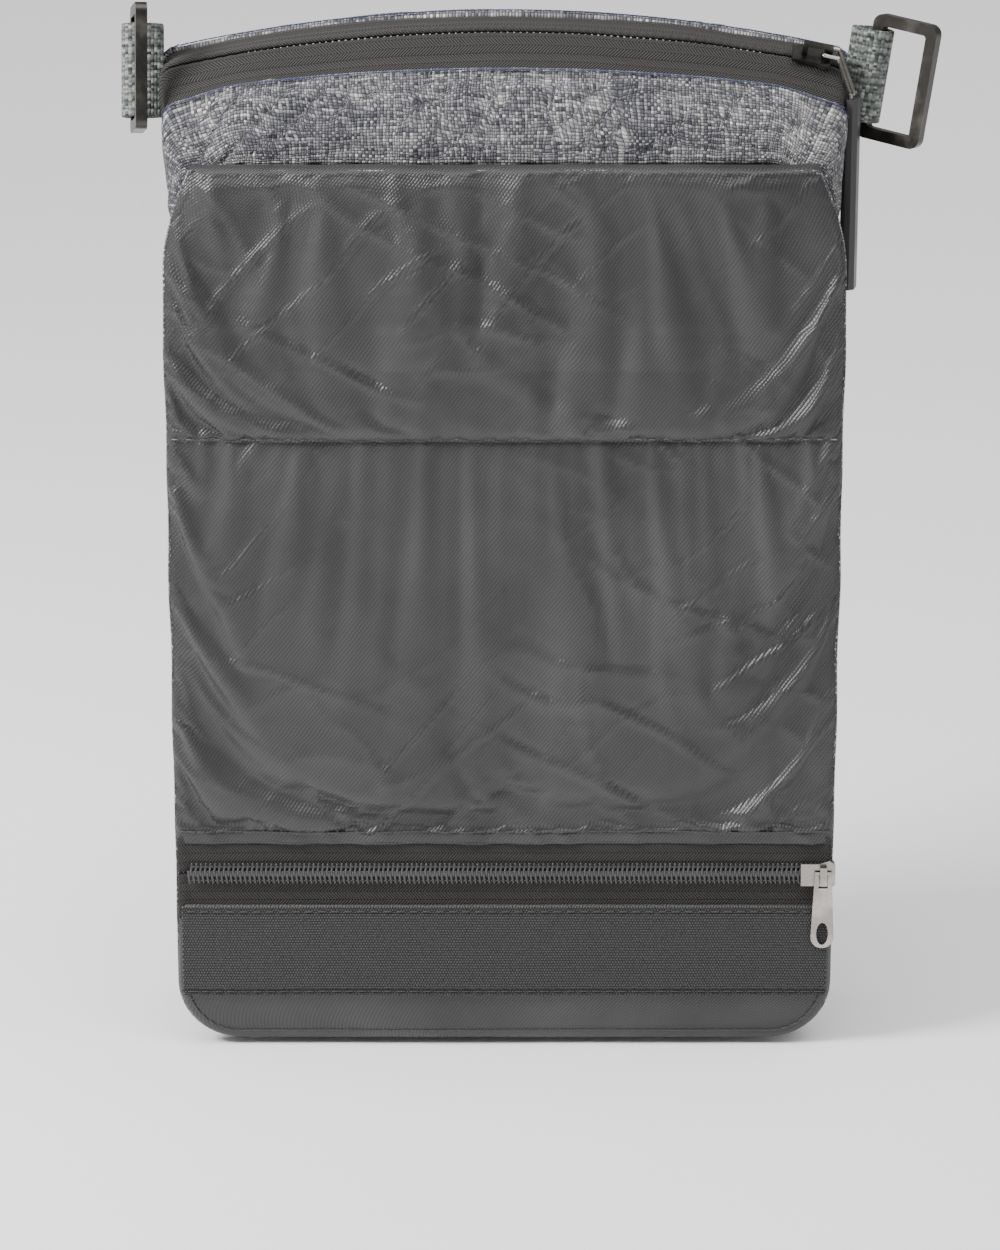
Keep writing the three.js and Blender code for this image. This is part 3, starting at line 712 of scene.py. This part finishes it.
def dome_band(name, node, rear, front, zip_edge, swell, seed):
    """A melange band over the top between two dome angles, turned in at its seam and folded under at the zip.
    Returns its surface as it was before settling."""
    middle = (rear + front) / 2
    seam_edge = rear if zip_edge == front else front

    def point(t, angle):
        p = over_top(t, angle)
        from_seam = abs(angle - seam_edge) * DOME_REACH
        from_zip = abs(angle - zip_edge) * DOME_REACH
        shape = 0.3 * seam_valley(from_seam) + 0.9 * MM * smooth_step(0, 1.6 * MM, from_zip)
        shape += swell * math.cos((angle - middle) / (rear - front) * math.pi)
        shape += 1.1 * MM * ripple(p.x, p.y, p.z, 26 * MM, seed) * smooth_step(0, 7 * MM, from_zip)
        crease = ridge(p.x, angle * DOME_REACH, 8 * MM, 30 * MM, 0.7, seed)
        shape -= 1.0 * MM * crease * smooth_step(3 * MM, 9 * MM, from_zip)
        shape -= 0.35 * MM * near(from_zip - 3.0 * MM, 0.9 * MM)
        shape *= smooth_step(0, 0.06, min(t, 1 - t))
        return p + dome_out(t, angle) * shape

    ts = steps(0, 1, 150)
    angles = steps(front, rear, 22)
    at_rest = settled(point, ts, angles, slack=0.012, pressure=0.0, drop=3.0,
                      out_limit=1.2 * MM, in_limit=0.8 * MM)
    obj = cloth(name, at_rest, ts, list(reversed(angles)), MELANGE, thick=1.6 * MM)
    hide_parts(node)
    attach(obj, "bag")
    return point


def tape_over_top(name, node, edge, centre, sign):
    """Half of the top zip: flat tape, then the low ridge over the hidden coil, up to the slit."""
    width = abs(edge - centre) * DOME_REACH
    ridge_foot = 4.6 * MM

    def point(t, angle):
        p = over_top(t, angle)
        from_slit = abs(angle - centre) * DOME_REACH
        ridge_high = 0.9 * MM * smooth_step(ridge_foot, 3.2 * MM, from_slit) if from_slit < ridge_foot else 0
        ridge_high -= 0.8 * MM * near(from_slit, 0.7 * MM)
        pinch = 0.12 * MM * math.sin(t * 210 * math.pi) * near(from_slit - 1.2 * MM, 1.4 * MM)
        sag = -0.8 * MM * near(from_slit - 0.6 * width, 3 * MM) + 0.5 * MM * ripple(p.x, p.y, 0, 22 * MM, 8.8)
        return p + dome_out(t, angle) * (ridge_high + pinch + sag - 0.6 * MM)

    reach = (STRAIGHT + CORNER * CORNER_SPREAD * TAPE_END) / TOP_HALF / 2
    ts = steps(0.5 - reach, 0.5 + reach, 420)
    slit = sign * 0.35 * MM / DOME_REACH
    angles = steps(edge, centre + slit, 16) if sign > 0 else steps(centre + slit, edge, 16)
    obj = cloth(name, point, ts, angles, TAPE, thick=0.7 * MM)
    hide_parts(node)
    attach(obj, "bag")


# ---------------------------------------------------------------- front and back panels
def panel_outline(y):
    """Right half of the body's outline at depth y from the middle of the base to the middle of the top."""
    angle = math.acos(max(-1, min(1, (y - DOME_Y) / DOME_REACH)))
    half = [Vector((STRAIGHT * i / 8, y, 0)) for i in range(8)]
    for i in range(11):
        a = i / 10 * math.pi / 2
        half.append(Vector((STRAIGHT + CORNER * math.sin(a), y, CORNER - CORNER * math.cos(a))))
    for i in range(1, 24):
        z = CORNER + (CORNER_Z - CORNER) * i / 24
        half.append(Vector((side_half(y, z), y, z)))
    for i in range(25):
        half.append(over_top(((TOP_HALF - TOP_ARC * i / 24) / TOP_HALF + 1) / 2, angle))
    for i in range(1, 9):
        half.append(over_top((STRAIGHT * (1 - i / 8) / TOP_HALF + 1) / 2, angle))
    return half


def body_panel(name, node, y, out, crown, seed):
    """A foam-backed panel: flat cloth with a crowned middle, turned in all round at its seam."""
    half = panel_outline(y)
    ring = half + [Vector((-p.x, p.y, p.z)) for p in reversed(half[1:-1])]
    centre = Vector((0, y, 150 * MM))
    rows = 26
    n = len(ring)

    def point(k, r):
        p = ring[k]
        place = centre.lerp(p, r)
        from_edge = (p - place).length
        rise = crown * smooth_step(0, 22 * MM, from_edge) - 1.6 * MM * near(from_edge, 1.8 * MM)
        rise += 0.7 * MM * ripple(place.x, seed, place.z, 55 * MM) * smooth_step(4 * MM, 30 * MM, from_edge)
        return place + Vector((0, out * rise, 0))

    verts = [point(k, 0.02 + 0.98 * (r / rows) ** 0.8) for r in range(rows + 1) for k in range(n)]
    faces = []
    for r in range(rows):
        for k in range(n):
            quad = (r * n + k, r * n + (k + 1) % n, (r + 1) * n + (k + 1) % n, (r + 1) * n + k)
            faces.append(quad if out < 0 else tuple(reversed(quad)))
    cap = tuple(range(n))
    faces.append(tuple(reversed(cap)) if out < 0 else cap)
    mesh = bpy.data.meshes.new(name)
    mesh.from_pydata(verts, [], faces)
    layer = mesh.uv_layers.new(name="flat")
    for loop in mesh.loops:
        co = mesh.vertices[loop.vertex_index].co
        layer.data[loop.index].uv = (co.x, co.z)
    obj = new_object(name, mesh, MELANGE)
    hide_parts(node)
    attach(obj, "bag")


# ---------------------------------------------------------------- the flap's surfaces
def flap_half(z, inset=0.0):
    """Half width of the flap at height z: drawn in to its seam, rounded at its free corners."""
    widen = math.sin(min(1, (SEAM_Z - z) / (34 * MM)) * math.pi / 2)
    half = FLAP_SEAM_HALF + (FLAP_HALF - FLAP_SEAM_HALF) * widen
    up = z - FLAP_FOOT
    if up < FLAP_CORNER:
        half -= FLAP_CORNER - math.sqrt(max(0, FLAP_CORNER**2 - (FLAP_CORNER - up) ** 2))
    return half - inset


def lining_relief(x, z):
    """Wrinkles in the lining, out of the flap."""
    relief = 1.1 * MM * ripple(x, 0, z, 62 * MM, 1.7)
    relief += 1.2 * MM * ridge(x, z, 17 * MM, 60 * MM, 1.05, 2.3) * (0.5 + ripple(x, 4, z, 70 * MM))
    relief += 1.0 * MM * ridge(x, z, 14 * MM, 50 * MM, -0.8, 7.9) * (0.5 + ripple(x, 9, z, 60 * MM))
    relief += 0.9 * MM * ridge(x, z, 20 * MM, 40 * MM, 0.2, 11.4) * (0.5 + ripple(x, 2, z, 50 * MM))
    gathers = math.sin(x / (5.2 * MM) + 2 * ripple(x, 0, 0, 30 * MM))
    relief += 0.8 * MM * gathers * math.exp(-(SEAM_Z - z) / (16 * MM))
    relief -= 0.5 * MM * near(x + 8 * MM, 2.4 * MM) * smooth_step(FOLD_FRONT, SEAM_Z, z)
    pucker = ripple(x, 0, 0, 5 * MM, 5.5) + 0.6 * ripple(x, 0, 0, 11 * MM, 2.5)
    relief += 0.75 * MM * pucker * math.exp(-abs(z - FOLD_FRONT) / (8 * MM))
    relief -= 1.0 * MM * near(z - FOLD_FRONT, 1.3 * MM)
    return relief


def edge_round(x, half, depth):
    """How far a sheet falls back towards the flap's edge, so that the edge is a rounded fold."""
    inside = max(0.0, half - abs(x))
    width = 5 * MM
    if inside >= width:
        return 0.0
    k = 1 - inside / width
    return depth * (1 - math.sqrt(max(0.0, 1 - k * k)))


LINING_Y = FLAP_Y - 2.1 * MM
LINING_TOP = SEAM_Z + 0.5 * MM
EDGE_Y = FLAP_Y - 0.2 * MM
TOP_ROLL = 6 * MM  # the lining turns in to the seam over this last height
EDGE_CALM = 9 * MM  # wrinkles die out over this width at the flap's side edges


def lining_point(u, z):
    half = flap_half(min(z, SEAM_Z))
    x = u * half
    back = edge_round(x, half, LINING_Y - EDGE_Y)
    calm = smooth_step(0, EDGE_CALM, half - abs(x))
    k = min(1, max(0, (z - (LINING_TOP - TOP_ROLL)) / TOP_ROLL))
    roll = (SEAM_Y - 0.8 * MM - LINING_Y) * (1 - math.sqrt(1 - k * k))
    y = LINING_Y - back - lining_relief(x, z) * calm * (1 - 0.7 * k) + roll
    return Vector((x + 0.5 * MM * ripple(0, 3, z, 24 * MM, 4.1) * u, y, z))


LINING_US = [0.35 * math.sin((i / 120 - 0.5) * math.pi) + 0.65 * (i / 60 - 1) for i in range(121)]
LINING_POCKET_ZS = steps(POCKET_LOW, FOLD_FRONT, 110)
LINING_MIDDLE_ZS = steps(FOLD_FRONT, SPLIT_Z, 22)
LINING_UPPER_ZS = steps(SPLIT_Z, LINING_TOP - TOP_ROLL, 44) + [
    LINING_TOP - TOP_ROLL * (1 - math.sin(i / 12 * math.pi / 2)) for i in range(1, 13)
]
LINING_ZS = LINING_POCKET_ZS + LINING_MIDDLE_ZS[1:] + LINING_UPPER_ZS[1:]
SEWN_ROWS = [j for j, z in enumerate(LINING_ZS) if z < POCKET_LOW + 4 * MM or z > LINING_TOP - 2 * MM]
lining_settled = settled(
    lining_point, LINING_US, LINING_ZS, slack=0.045, pressure=0.25, drop=4.0, out_limit=2.6 * MM,
    in_limit=1.0 * MM, sewn=[len(LINING_POCKET_ZS) - 1, *SEWN_ROWS],
)


def shell_point(u, z):
    half = flap_half(z)
    x = u * half
    y = FLAP_Y + 1.1 * MM
    back = edge_round(x, half, y - EDGE_Y)
    calm = smooth_step(0, EDGE_CALM, half - abs(x))
    foot = smooth_step(0, 5 * MM, z - FLAP_FOOT)
    wave = 0.5 * MM * ripple(x, 7, z, 48 * MM)
    y = EDGE_Y + (y - back + wave * calm - EDGE_Y) * foot
    return Vector((x + 0.5 * MM * ripple(0, 3, z, 24 * MM, 4.1) * u, y, z))


def blend_flap(obj, upper):
    """Bake a piece's transform into its mesh."""
    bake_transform(obj)


def cosine_steps(n):
    """-1 to 1, closer together towards both ends."""
    return [math.sin((i / n - 0.5) * math.pi) for i in range(n + 1)]


def flap_sheet(name, point, us, zs, material, replaced, upper, thick=0.0):
    obj = cloth(name, point, us, zs, material, thick=thick)
    if replaced:
        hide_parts(*replaced)
    blend_flap(obj, upper)
    if not thick:
        even_normals(obj, point, us, zs)
    return obj


def even_normals(obj, point, us, zs):
    """Shade the sheet by its surface's own normals, so that two lengths of one cloth meet without a line."""
    h = 0.4 * MM
    normals = []
    for z in zs:
        for i, u in enumerate(us):
            a, b = max(i - 1, 0), min(i + 1, len(us) - 1)
            along = point(u, min(z + h, LINING_ZS[-1])) - point(u, max(z - h, LINING_ZS[0]))
            normals.append((point(us[b], z) - point(us[a], z)).cross(along).normalized())
    obj.data.normals_split_custom_set_from_vertices(normals)


def build_flap():
    for name, zs, replaced, upper in (
        ("flap_lining_upper", LINING_UPPER_ZS, ["flap_lining_root", "flap_lining_top"], True),
        ("flap_lining_above_seam", LINING_MIDDLE_ZS, [], False),
        ("flap_pocket_cloth", LINING_POCKET_ZS, ["flap_pocket_panel", "flap_pocket_backing"], False),
    ):
        flap_sheet(name, lining_settled, LINING_US, zs, TWILL, replaced, upper)
    back_us = [-u for u in LINING_US]
    upper_zs = steps(SPLIT_Z, SEAM_Z - 0.6 * MM, 40)
    flap_sheet("flap_shell_upper", shell_point, back_us, upper_zs, MELANGE,
               ["flap_shell_root", "flap_shell_top"], True, 0.6 * MM)
    flap_sheet("flap_shell_lower", shell_point, back_us, steps(FLAP_FOOT, SPLIT_Z, 120), MELANGE,
               ["flap_shell_front"], False, 0.6 * MM)


def build_pocket_fold():
    """The pocket panel's lower edge: a rolled fold of lining above the zip, with its topstitching."""
    radius = 1.0 * MM

    def point(u, a):
        x = u * flap_half(POCKET_LOW, 1.2 * MM)  # only places the ripple
        base = lining_settled(u, POCKET_LOW + 0.1 * MM)
        y = base.y + radius - radius * math.cos(a)
        z = POCKET_LOW - radius * math.sin(a) + 0.25 * MM * ripple(x, 0, 0, 14 * MM, 2.2)
        return Vector((base.x, y, z))

    obj = cloth("flap_pocket_fold", point, steps(-1, 1, 160), steps(0, math.pi, 8), TWILL)
    obj.data.flip_normals()
    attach(obj, "flap_front")
    proud = Vector((0, -0.35 * MM, 0))
    route = [lining_settled(u, POCKET_LOW + 3.6 * MM) + proud for u in steps(-0.985, 0.985, 260)]
    stitches("flap_pocket_topstitch", route, DARK_THREAD, "flap_front")


def build_seam_stitches():
    """The light stitches that show in the pucker where the lining is sewn to the pocket panel."""
    route = [lining_settled(u, FOLD_FRONT) + Vector((0, -0.25 * MM, 0)) for u in steps(-0.98, 0.98, 260)]
    row = stitches("flap_seam_stitches", route, GREY_THREAD, None, 4.4 * MM, 0.32)
    blend_flap(row, False)


def tape_point(u, z):
    half = flap_half(z, 1.0 * MM)
    x = u * half
    sag = 0.25 * MM * ripple(x, 2, z, 26 * MM)
    return Vector((x, FLAP_Y - 1.5 * MM - edge_round(x, half, 1.2 * MM) - sag, z))


def build_flap_zip():
    gap = 0.45 * MM
    for name, node, a, b in (
        ("flap_tape_upper", "flap_zip_tape_upper", FLAP_ZIP_Z + gap, POCKET_LOW + 1.5 * MM),
        ("flap_tape_lower", "flap_zip_tape_lower", HOOK_HIGH - 4 * MM, FLAP_ZIP_Z - gap),
    ):
        obj = cloth(name, tape_point, steps(-1, 1, 90), steps(a, b, 12), TAPE, thick=0.5 * MM)
        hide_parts(node)
        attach(obj, "flap_front")
    build_coil("flap_coil_upper", "flap_zip_coil_upper", 1)
    build_coil("flap_coil_lower", "flap_zip_coil_lower", -1)


def build_coil(name, node, side):
    """One half of a No. 5 coil: a row of bent filament teeth, half a pitch out from the other half's."""
    pitch = 1.5 * MM
    reach = 3.15 * MM
    front = low("flap_zip_coil_upper").y
    first = low("flap_zip_coil_upper").x
    flat_way = Vector((0, 1, 0))
    count = int((high("flap_zip_coil_upper").x - first) / pitch)
    parts = []
    for k in range(count):
        x = first + (k + (0.5 if side > 0 else 0)) * pitch
        inner = Vector((x, front + 0.42 * MM, FLAP_ZIP_Z - side * 0.55 * MM))
        waist = Vector((x, front + 0.30 * MM, FLAP_ZIP_Z + side * 1.0 * MM))
        outer = Vector((x + 0.28 * MM, front + 0.62 * MM, FLAP_ZIP_Z + side * reach))
        parts.append(capsule(inner, waist, 0.50 * MM, flat_way, 0.8))
        parts.append(capsule(waist, outer, 0.43 * MM, flat_way, 0.8))
    obj = joined(name, parts, COIL_PLASTIC)
    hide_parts(node)
    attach(obj, "flap_front")
    route = [Vector((x, front + 0.35 * MM, FLAP_ZIP_Z + side * 2.35 * MM)) for x in steps(-0.1, 0.1, 40)]
    stitches(name + "_stitches", route, DARK_THREAD, "flap_front", pitch, 0.55, 0.22 * MM)


def hem_point(u, z):
    half = flap_half(z)
    x = u * half
    back = edge_round(x, half, -1.9 * MM)
    foot = 1 - math.sqrt(max(0.0, 1 - max(0.0, 1 - (z - FLAP_FOOT) / (4 * MM)) ** 2))
    y = FLAP_Y - 2.2 * MM + 2.0 * MM * foot - back
    y -= 0.35 * MM * ripple(x, 5, z, 17 * MM) * (1 - foot)
    return Vector((x, y, z))


def build_hem():
    """The flap's free end: a lining hem below the hook strip, its edge stitched."""
    zs = [FLAP_FOOT + (HOOK_HIGH + 0.5 * MM - FLAP_FOOT) * (i / 46) ** 1.35 for i in range(47)]
    us = [0.4 * u + 0.6 * w for u, w in zip(cosine_steps(120), steps(-1, 1, 120))]
    obj = cloth("flap_hem_cloth", hem_point, us, zs, TWILL, thick=0.6 * MM)
    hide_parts("flap_hem_lining")
    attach(obj, "flap_front")
    route = []
    edge = 3.2 * MM
    for u in steps(-1, 1, 240):
        z = FLAP_FOOT + edge
        reach = abs(u) * FLAP_HALF - (FLAP_HALF - FLAP_CORNER)
        if reach > 0:
            drop = math.sqrt(max(0.0, (FLAP_CORNER - edge) ** 2 - min(reach, 16.4 * MM) ** 2))
            z = FLAP_FOOT + FLAP_CORNER - drop
        x = u * FLAP_HALF
        if abs(x) < flap_half(z):
            route.append(hem_point(x / flap_half(z), z) + Vector((0, -0.25 * MM, 0)))
    stitches("flap_hem_topstitch", route, DARK_THREAD, "flap_front")


def build_hook_strip():
    """The hook tape: a field of hooks between two ribbed selvedges, a row of stitches along each edge."""
    face = low("hook_strip").y
    selvedge = 2.6 * MM

    def point(x, z):
        inside = min(z - HOOK_LOW, HOOK_HIGH - z)
        proud = 0.75 * MM * smooth_step(selvedge - 0.5 * MM, selvedge + 0.5 * MM, inside)
        tuft = 0.22 * MM * ripple(x, z, 0, 0.9 * MM) if inside > selvedge else 0
        rib = 0.14 * MM * math.cos(inside / (0.8 * MM) * 2 * math.pi) if inside < selvedge else 0
        wave = 0.3 * MM * ripple(x, 0, 0, 40 * MM, 6.6)
        return Vector((x, face + 0.9 * MM - proud - tuft - rib - wave * 0.5, z + wave))

    obj = cloth("hook_strip_cloth", point, steps(-HOOK_HALF, HOOK_HALF, 330), steps(HOOK_LOW, HOOK_HIGH, 60),
                HOOK, thick=0.8 * MM)
    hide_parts("hook_strip")
    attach(obj, "flap_front")
    proud = Vector((0, -0.2 * MM, 0))
    for name, z in (("low", HOOK_LOW + 1.3 * MM), ("high", HOOK_HIGH - 1.3 * MM)):
        route = [point(x, z) + proud for x in steps(-HOOK_HALF + 2 * MM, HOOK_HALF - 2 * MM, 200)]
        name = "hook_strip_stitches_" + name
        stitches(name, route, DARK_THREAD, "flap_front", 4.2 * MM, 0.5)


def build_loop_strip():
    face = LOOP_HIGH.y

    def point(x, z):
        inside = min(z - LOOP_LOW.z, LOOP_HIGH.z - z, LOOP_HIGH.x - abs(x))
        pile = 0.45 * MM * smooth_step(0.2 * MM, 2.4 * MM, inside)
        tuft = 0.2 * MM * noise.noise(Vector((x / (1.1 * MM), z / (1.1 * MM), 4)))
        return Vector((x, face - 0.7 * MM + pile + tuft, z))

    xs, zs = steps(LOOP_HIGH.x, LOOP_LOW.x, 260), steps(LOOP_LOW.z, LOOP_HIGH.z, 48)
    obj = cloth("loop_strip_cloth", point, xs, zs, LOOP, thick=0.9 * MM)
    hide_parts("loop_strip")
    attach(obj, "bag")
    edge = 1.5 * MM
    x, z0, z1 = LOOP_HIGH.x - edge, LOOP_LOW.z + edge, LOOP_HIGH.z - edge
    corners = [(-x, z0), (x, z0), (x, z1), (-x, z1), (-x, z0)]
    route = [Vector((a, face + 0.1 * MM, b)) for a, b in corners]
    stitches("loop_strip_stitches", route, GREY_THREAD, "bag")


# ---------------------------------------------------------------- webbing, hardware and the inside
def webbing_loop(side):
    """A loop of ribbed webbing: out of the side seam, round the ring's bar, and back."""
    joint = joints[side_word(side) + "_ring_swing"]
    width_way = Vector(joint["axis"]).normalized()
    if width_way.z < 0:
        width_way = -width_way
    eye = Vector(joint["pos_m"])
    out = Vector((side, 0, 0))
    out = (out - width_way * out.dot(width_way)).normalized()
    across = width_way.cross(out)
    reach = 9.2 * MM
    wide = 29 * MM
    r = 3.9 * MM
    route = [(-reach + 0.8 * MM, 0.8 * MM), (-reach * 0.75, 1.5 * MM)]
    route += [(-reach * 0.5, 2.9 * MM), (-reach * 0.2, r)]
    for i in range(13):
        a = math.pi / 2 - math.pi * i / 12
        route.append((r * math.cos(a), r * math.sin(a)))
    route += [(x, -y) for x, y in reversed(route[:4])]

    def point(k, w):
        x, y = route[k]
        return eye + out * x + across * y + width_way * w

    ws = steps(-wide / 2, wide / 2, 14)
    obj = cloth("webbing_" + side_word(side), point, range(len(route)), ws, WEBBING)
    shell = obj.modifiers.new("thick", "SOLIDIFY")
    shell.thickness = 1.5 * MM
    shell.offset = 0
    rounding = obj.modifiers.new("edge", "BEVEL")
    rounding.width = 0.5 * MM
    rounding.segments = 2
    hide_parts("ring_loop_" + side_word(side))
    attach(obj, "bag")


def dress(node, material, bevel, segments=3):
    """A CAD node that keeps its shape: softened edges and a finish."""
    obj = nodes[node]
    wear(obj, material)
    if bevel:
        rounding = obj.modifiers.new("edge", "BEVEL")
        rounding.width = bevel
        rounding.segments = segments
        rounding.limit_method = "ANGLE"
        rounding.angle_limit = math.radians(35)
        rounding.harden_normals = True
    obj.data.shade_smooth()


def build_hardware():
    for side in (-1, 1):
        dress("ring_" + side_word(side), GUNMETAL, 0.9 * MM, 4)
    dress("top_zip_slider", GUNMETAL, 0.25 * MM)
    dress("top_zip_staple", NICKEL, 0)
    dress("top_zip_pull_bar", PULL_PLASTIC, 0.35 * MM)
    dress("flap_zip_slider", NICKEL, 0.2 * MM)
    dress("flap_zip_puller", NICKEL, 0.15 * MM)
    for node in ("back_padding", "base_board"):
        dress(node, FOAM, 0.4 * MM)
    for node in ("top_zip_coil_rear", "top_zip_coil_front"):
        dress(node, COIL_PLASTIC, 0.2 * MM)


def build_liner():
    """The loose bag lining inside, open at the top and a little slack."""
    lo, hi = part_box("main_lining")
    centre = (lo + hi) / 2
    half = (hi - lo) / 2

    def point(a, z):
        c, s = math.cos(a), math.sin(a)
        k = 0.18  # a low power squares the ring of cloth to the bag's corners
        x = math.copysign(abs(c) ** k, c) * half.x * 0.995
        y = math.copysign(abs(s) ** k, s) * half.y * 0.97
        slack = 1 - 0.012 * (1 + ripple(x, y, z, 40 * MM))
        return Vector((centre.x + x * slack, centre.y + y * slack, z))

    zs = steps(lo.z + 0.4 * MM, hi.z, 50)
    obj = cloth("liner_cloth", point, steps(0, 2 * math.pi, 120), zs, TWILL)
    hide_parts("main_lining")
    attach(obj, "bag")


# ---------------------------------------------------------------- stage
def build_stage():
    mesh = bpy.data.meshes.new("floor")
    size = 6.0
    corners = [(-size, -size, 0), (size, -size, 0), (size, size, 0), (-size, size, 0)]
    mesh.from_pydata(corners, [], [(0, 1, 2, 3)])
    s = Shade("floor")
    s.finish((0.93, 0.93, 0.93), 0.6)
    floor = new_object("floor", mesh, s.material, smooth=False)
    world = bpy.data.worlds.new("studio")
    world.use_nodes = True
    colour, strength = world.node_tree.nodes["Background"].inputs[:2]
    colour.default_value = (1, 1, 1, 1)
    strength.default_value = 0.40
    bpy.context.scene.world = world
    area_light("key", (-0.85, -0.40, 0.95), 0.35, 24)
    area_light("balance", (0.9, -0.45, 1.2), 0.8, 4)
    sky = bpy.data.lights.new("sky", "SUN")
    sky.energy = 2.4
    sky.angle = math.radians(50)
    aim(placed("sky", sky), Vector((-0.05, 0.16, -1)))


def aim(obj, way):
    obj.rotation_euler = way.to_track_quat("-Z", "Y").to_euler()


def area_light(name, place, size, power):
    data = bpy.data.lights.new(name, "AREA")
    data.size = size
    data.energy = power
    obj = placed(name, data)
    obj.location = place
    aim(obj, Vector((0, 0, 0.15)) - Vector(place))


def build_camera():
    """Behind the bag and a little above it."""
    rise = math.radians(17.5)
    far = 1.40
    target = Vector((-1.4 * MM, FLAP_Y, 142 * MM))
    data = bpy.data.cameras.new("camera")
    data.sensor_width = 36
    data.lens = 128
    obj = placed("camera", data)
    back = Vector((0, -math.cos(rise), math.sin(rise)))
    obj.location = target + back * far
    aim(obj, -back)
    bpy.context.scene.camera = obj


def band_stitches(name, point, angle):
    route = []
    for t in steps(0.03, 0.97, 260):
        p = point(t, angle)
        out = (p - Vector((0, DOME_Y, CORNER_Z))).normalized()
        route.append(p + out * 0.15 * MM)
    stitches(name, route, NAVY_THREAD, "bag", share=0.85, radius=0.22 * MM)


def build_top_chain():
    """The top zip's hidden coil where it shows in the slit between the tapes, coloured far lighter than the
    coil's own dark plastic as a painted glint.
    """
    pitch = 2.0 * MM
    across = 0.9 * MM / DOME_REACH
    parts = []
    count = int(2 * STRAIGHT / pitch)
    sunk = Vector((0, 0, -0.95 * MM))
    for k in range(count + 1):
        t = ((k - count / 2) * pitch / TOP_HALF + 1) / 2
        rear, front = (over_top(t, ZIP_ANGLE + side * across) for side in (1, -1))
        parts.append(capsule(rear + sunk, front + sunk, 0.36 * MM))
    obj = joined("top_zip_chain", parts, CHAIN_PAINTED_GLINT)
    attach(obj, "bag")


build_camera()
build_stage()
gusset_side()
for side in (-1, 1):
    zip_end(side)
EDGE_IN = 1.4 * MM / DOME_REACH  # the bands' folded edges stand this far back from the zip's slit opening
REAR_EDGE = ZIP_REAR + EDGE_IN
FRONT_EDGE = ZIP_FRONT - EDGE_IN
STITCH_IN = 0.8 * MM / DOME_REACH
rear_point = dome_band("rear_band", "top_gusset_rear", math.pi - 0.002, REAR_EDGE, REAR_EDGE, 1.2 * MM, 1.3)
front_point = dome_band("front_band", "top_gusset_front", FRONT_EDGE, FRONT_ANGLE, FRONT_EDGE, 0.6 * MM, 6.1)
band_stitches("rear_band_topstitch", rear_point, REAR_EDGE + STITCH_IN)
band_stitches("front_band_topstitch", front_point, FRONT_EDGE - STITCH_IN)
tape_over_top("top_tape_rear", "top_zip_tape_rear", ZIP_REAR + 3 * EDGE_IN, ZIP_ANGLE, 1)
tape_over_top("top_tape_front", "top_zip_tape_front", ZIP_FRONT - 3 * EDGE_IN, ZIP_ANGLE, -1)
body_panel("back_panel_cloth", "back_panel", SEAM_Y, -1, 1.6 * MM, 2)
body_panel("front_panel_cloth", "front_panel", FRONT_Y, 1, 0.2 * MM, 9)
build_flap()
build_pocket_fold()
build_seam_stitches()
build_flap_zip()
build_hem()
build_hook_strip()
build_loop_strip()
for side in (-1, 1):
    webbing_loop(side)
build_top_chain()
build_hardware()
build_liner()
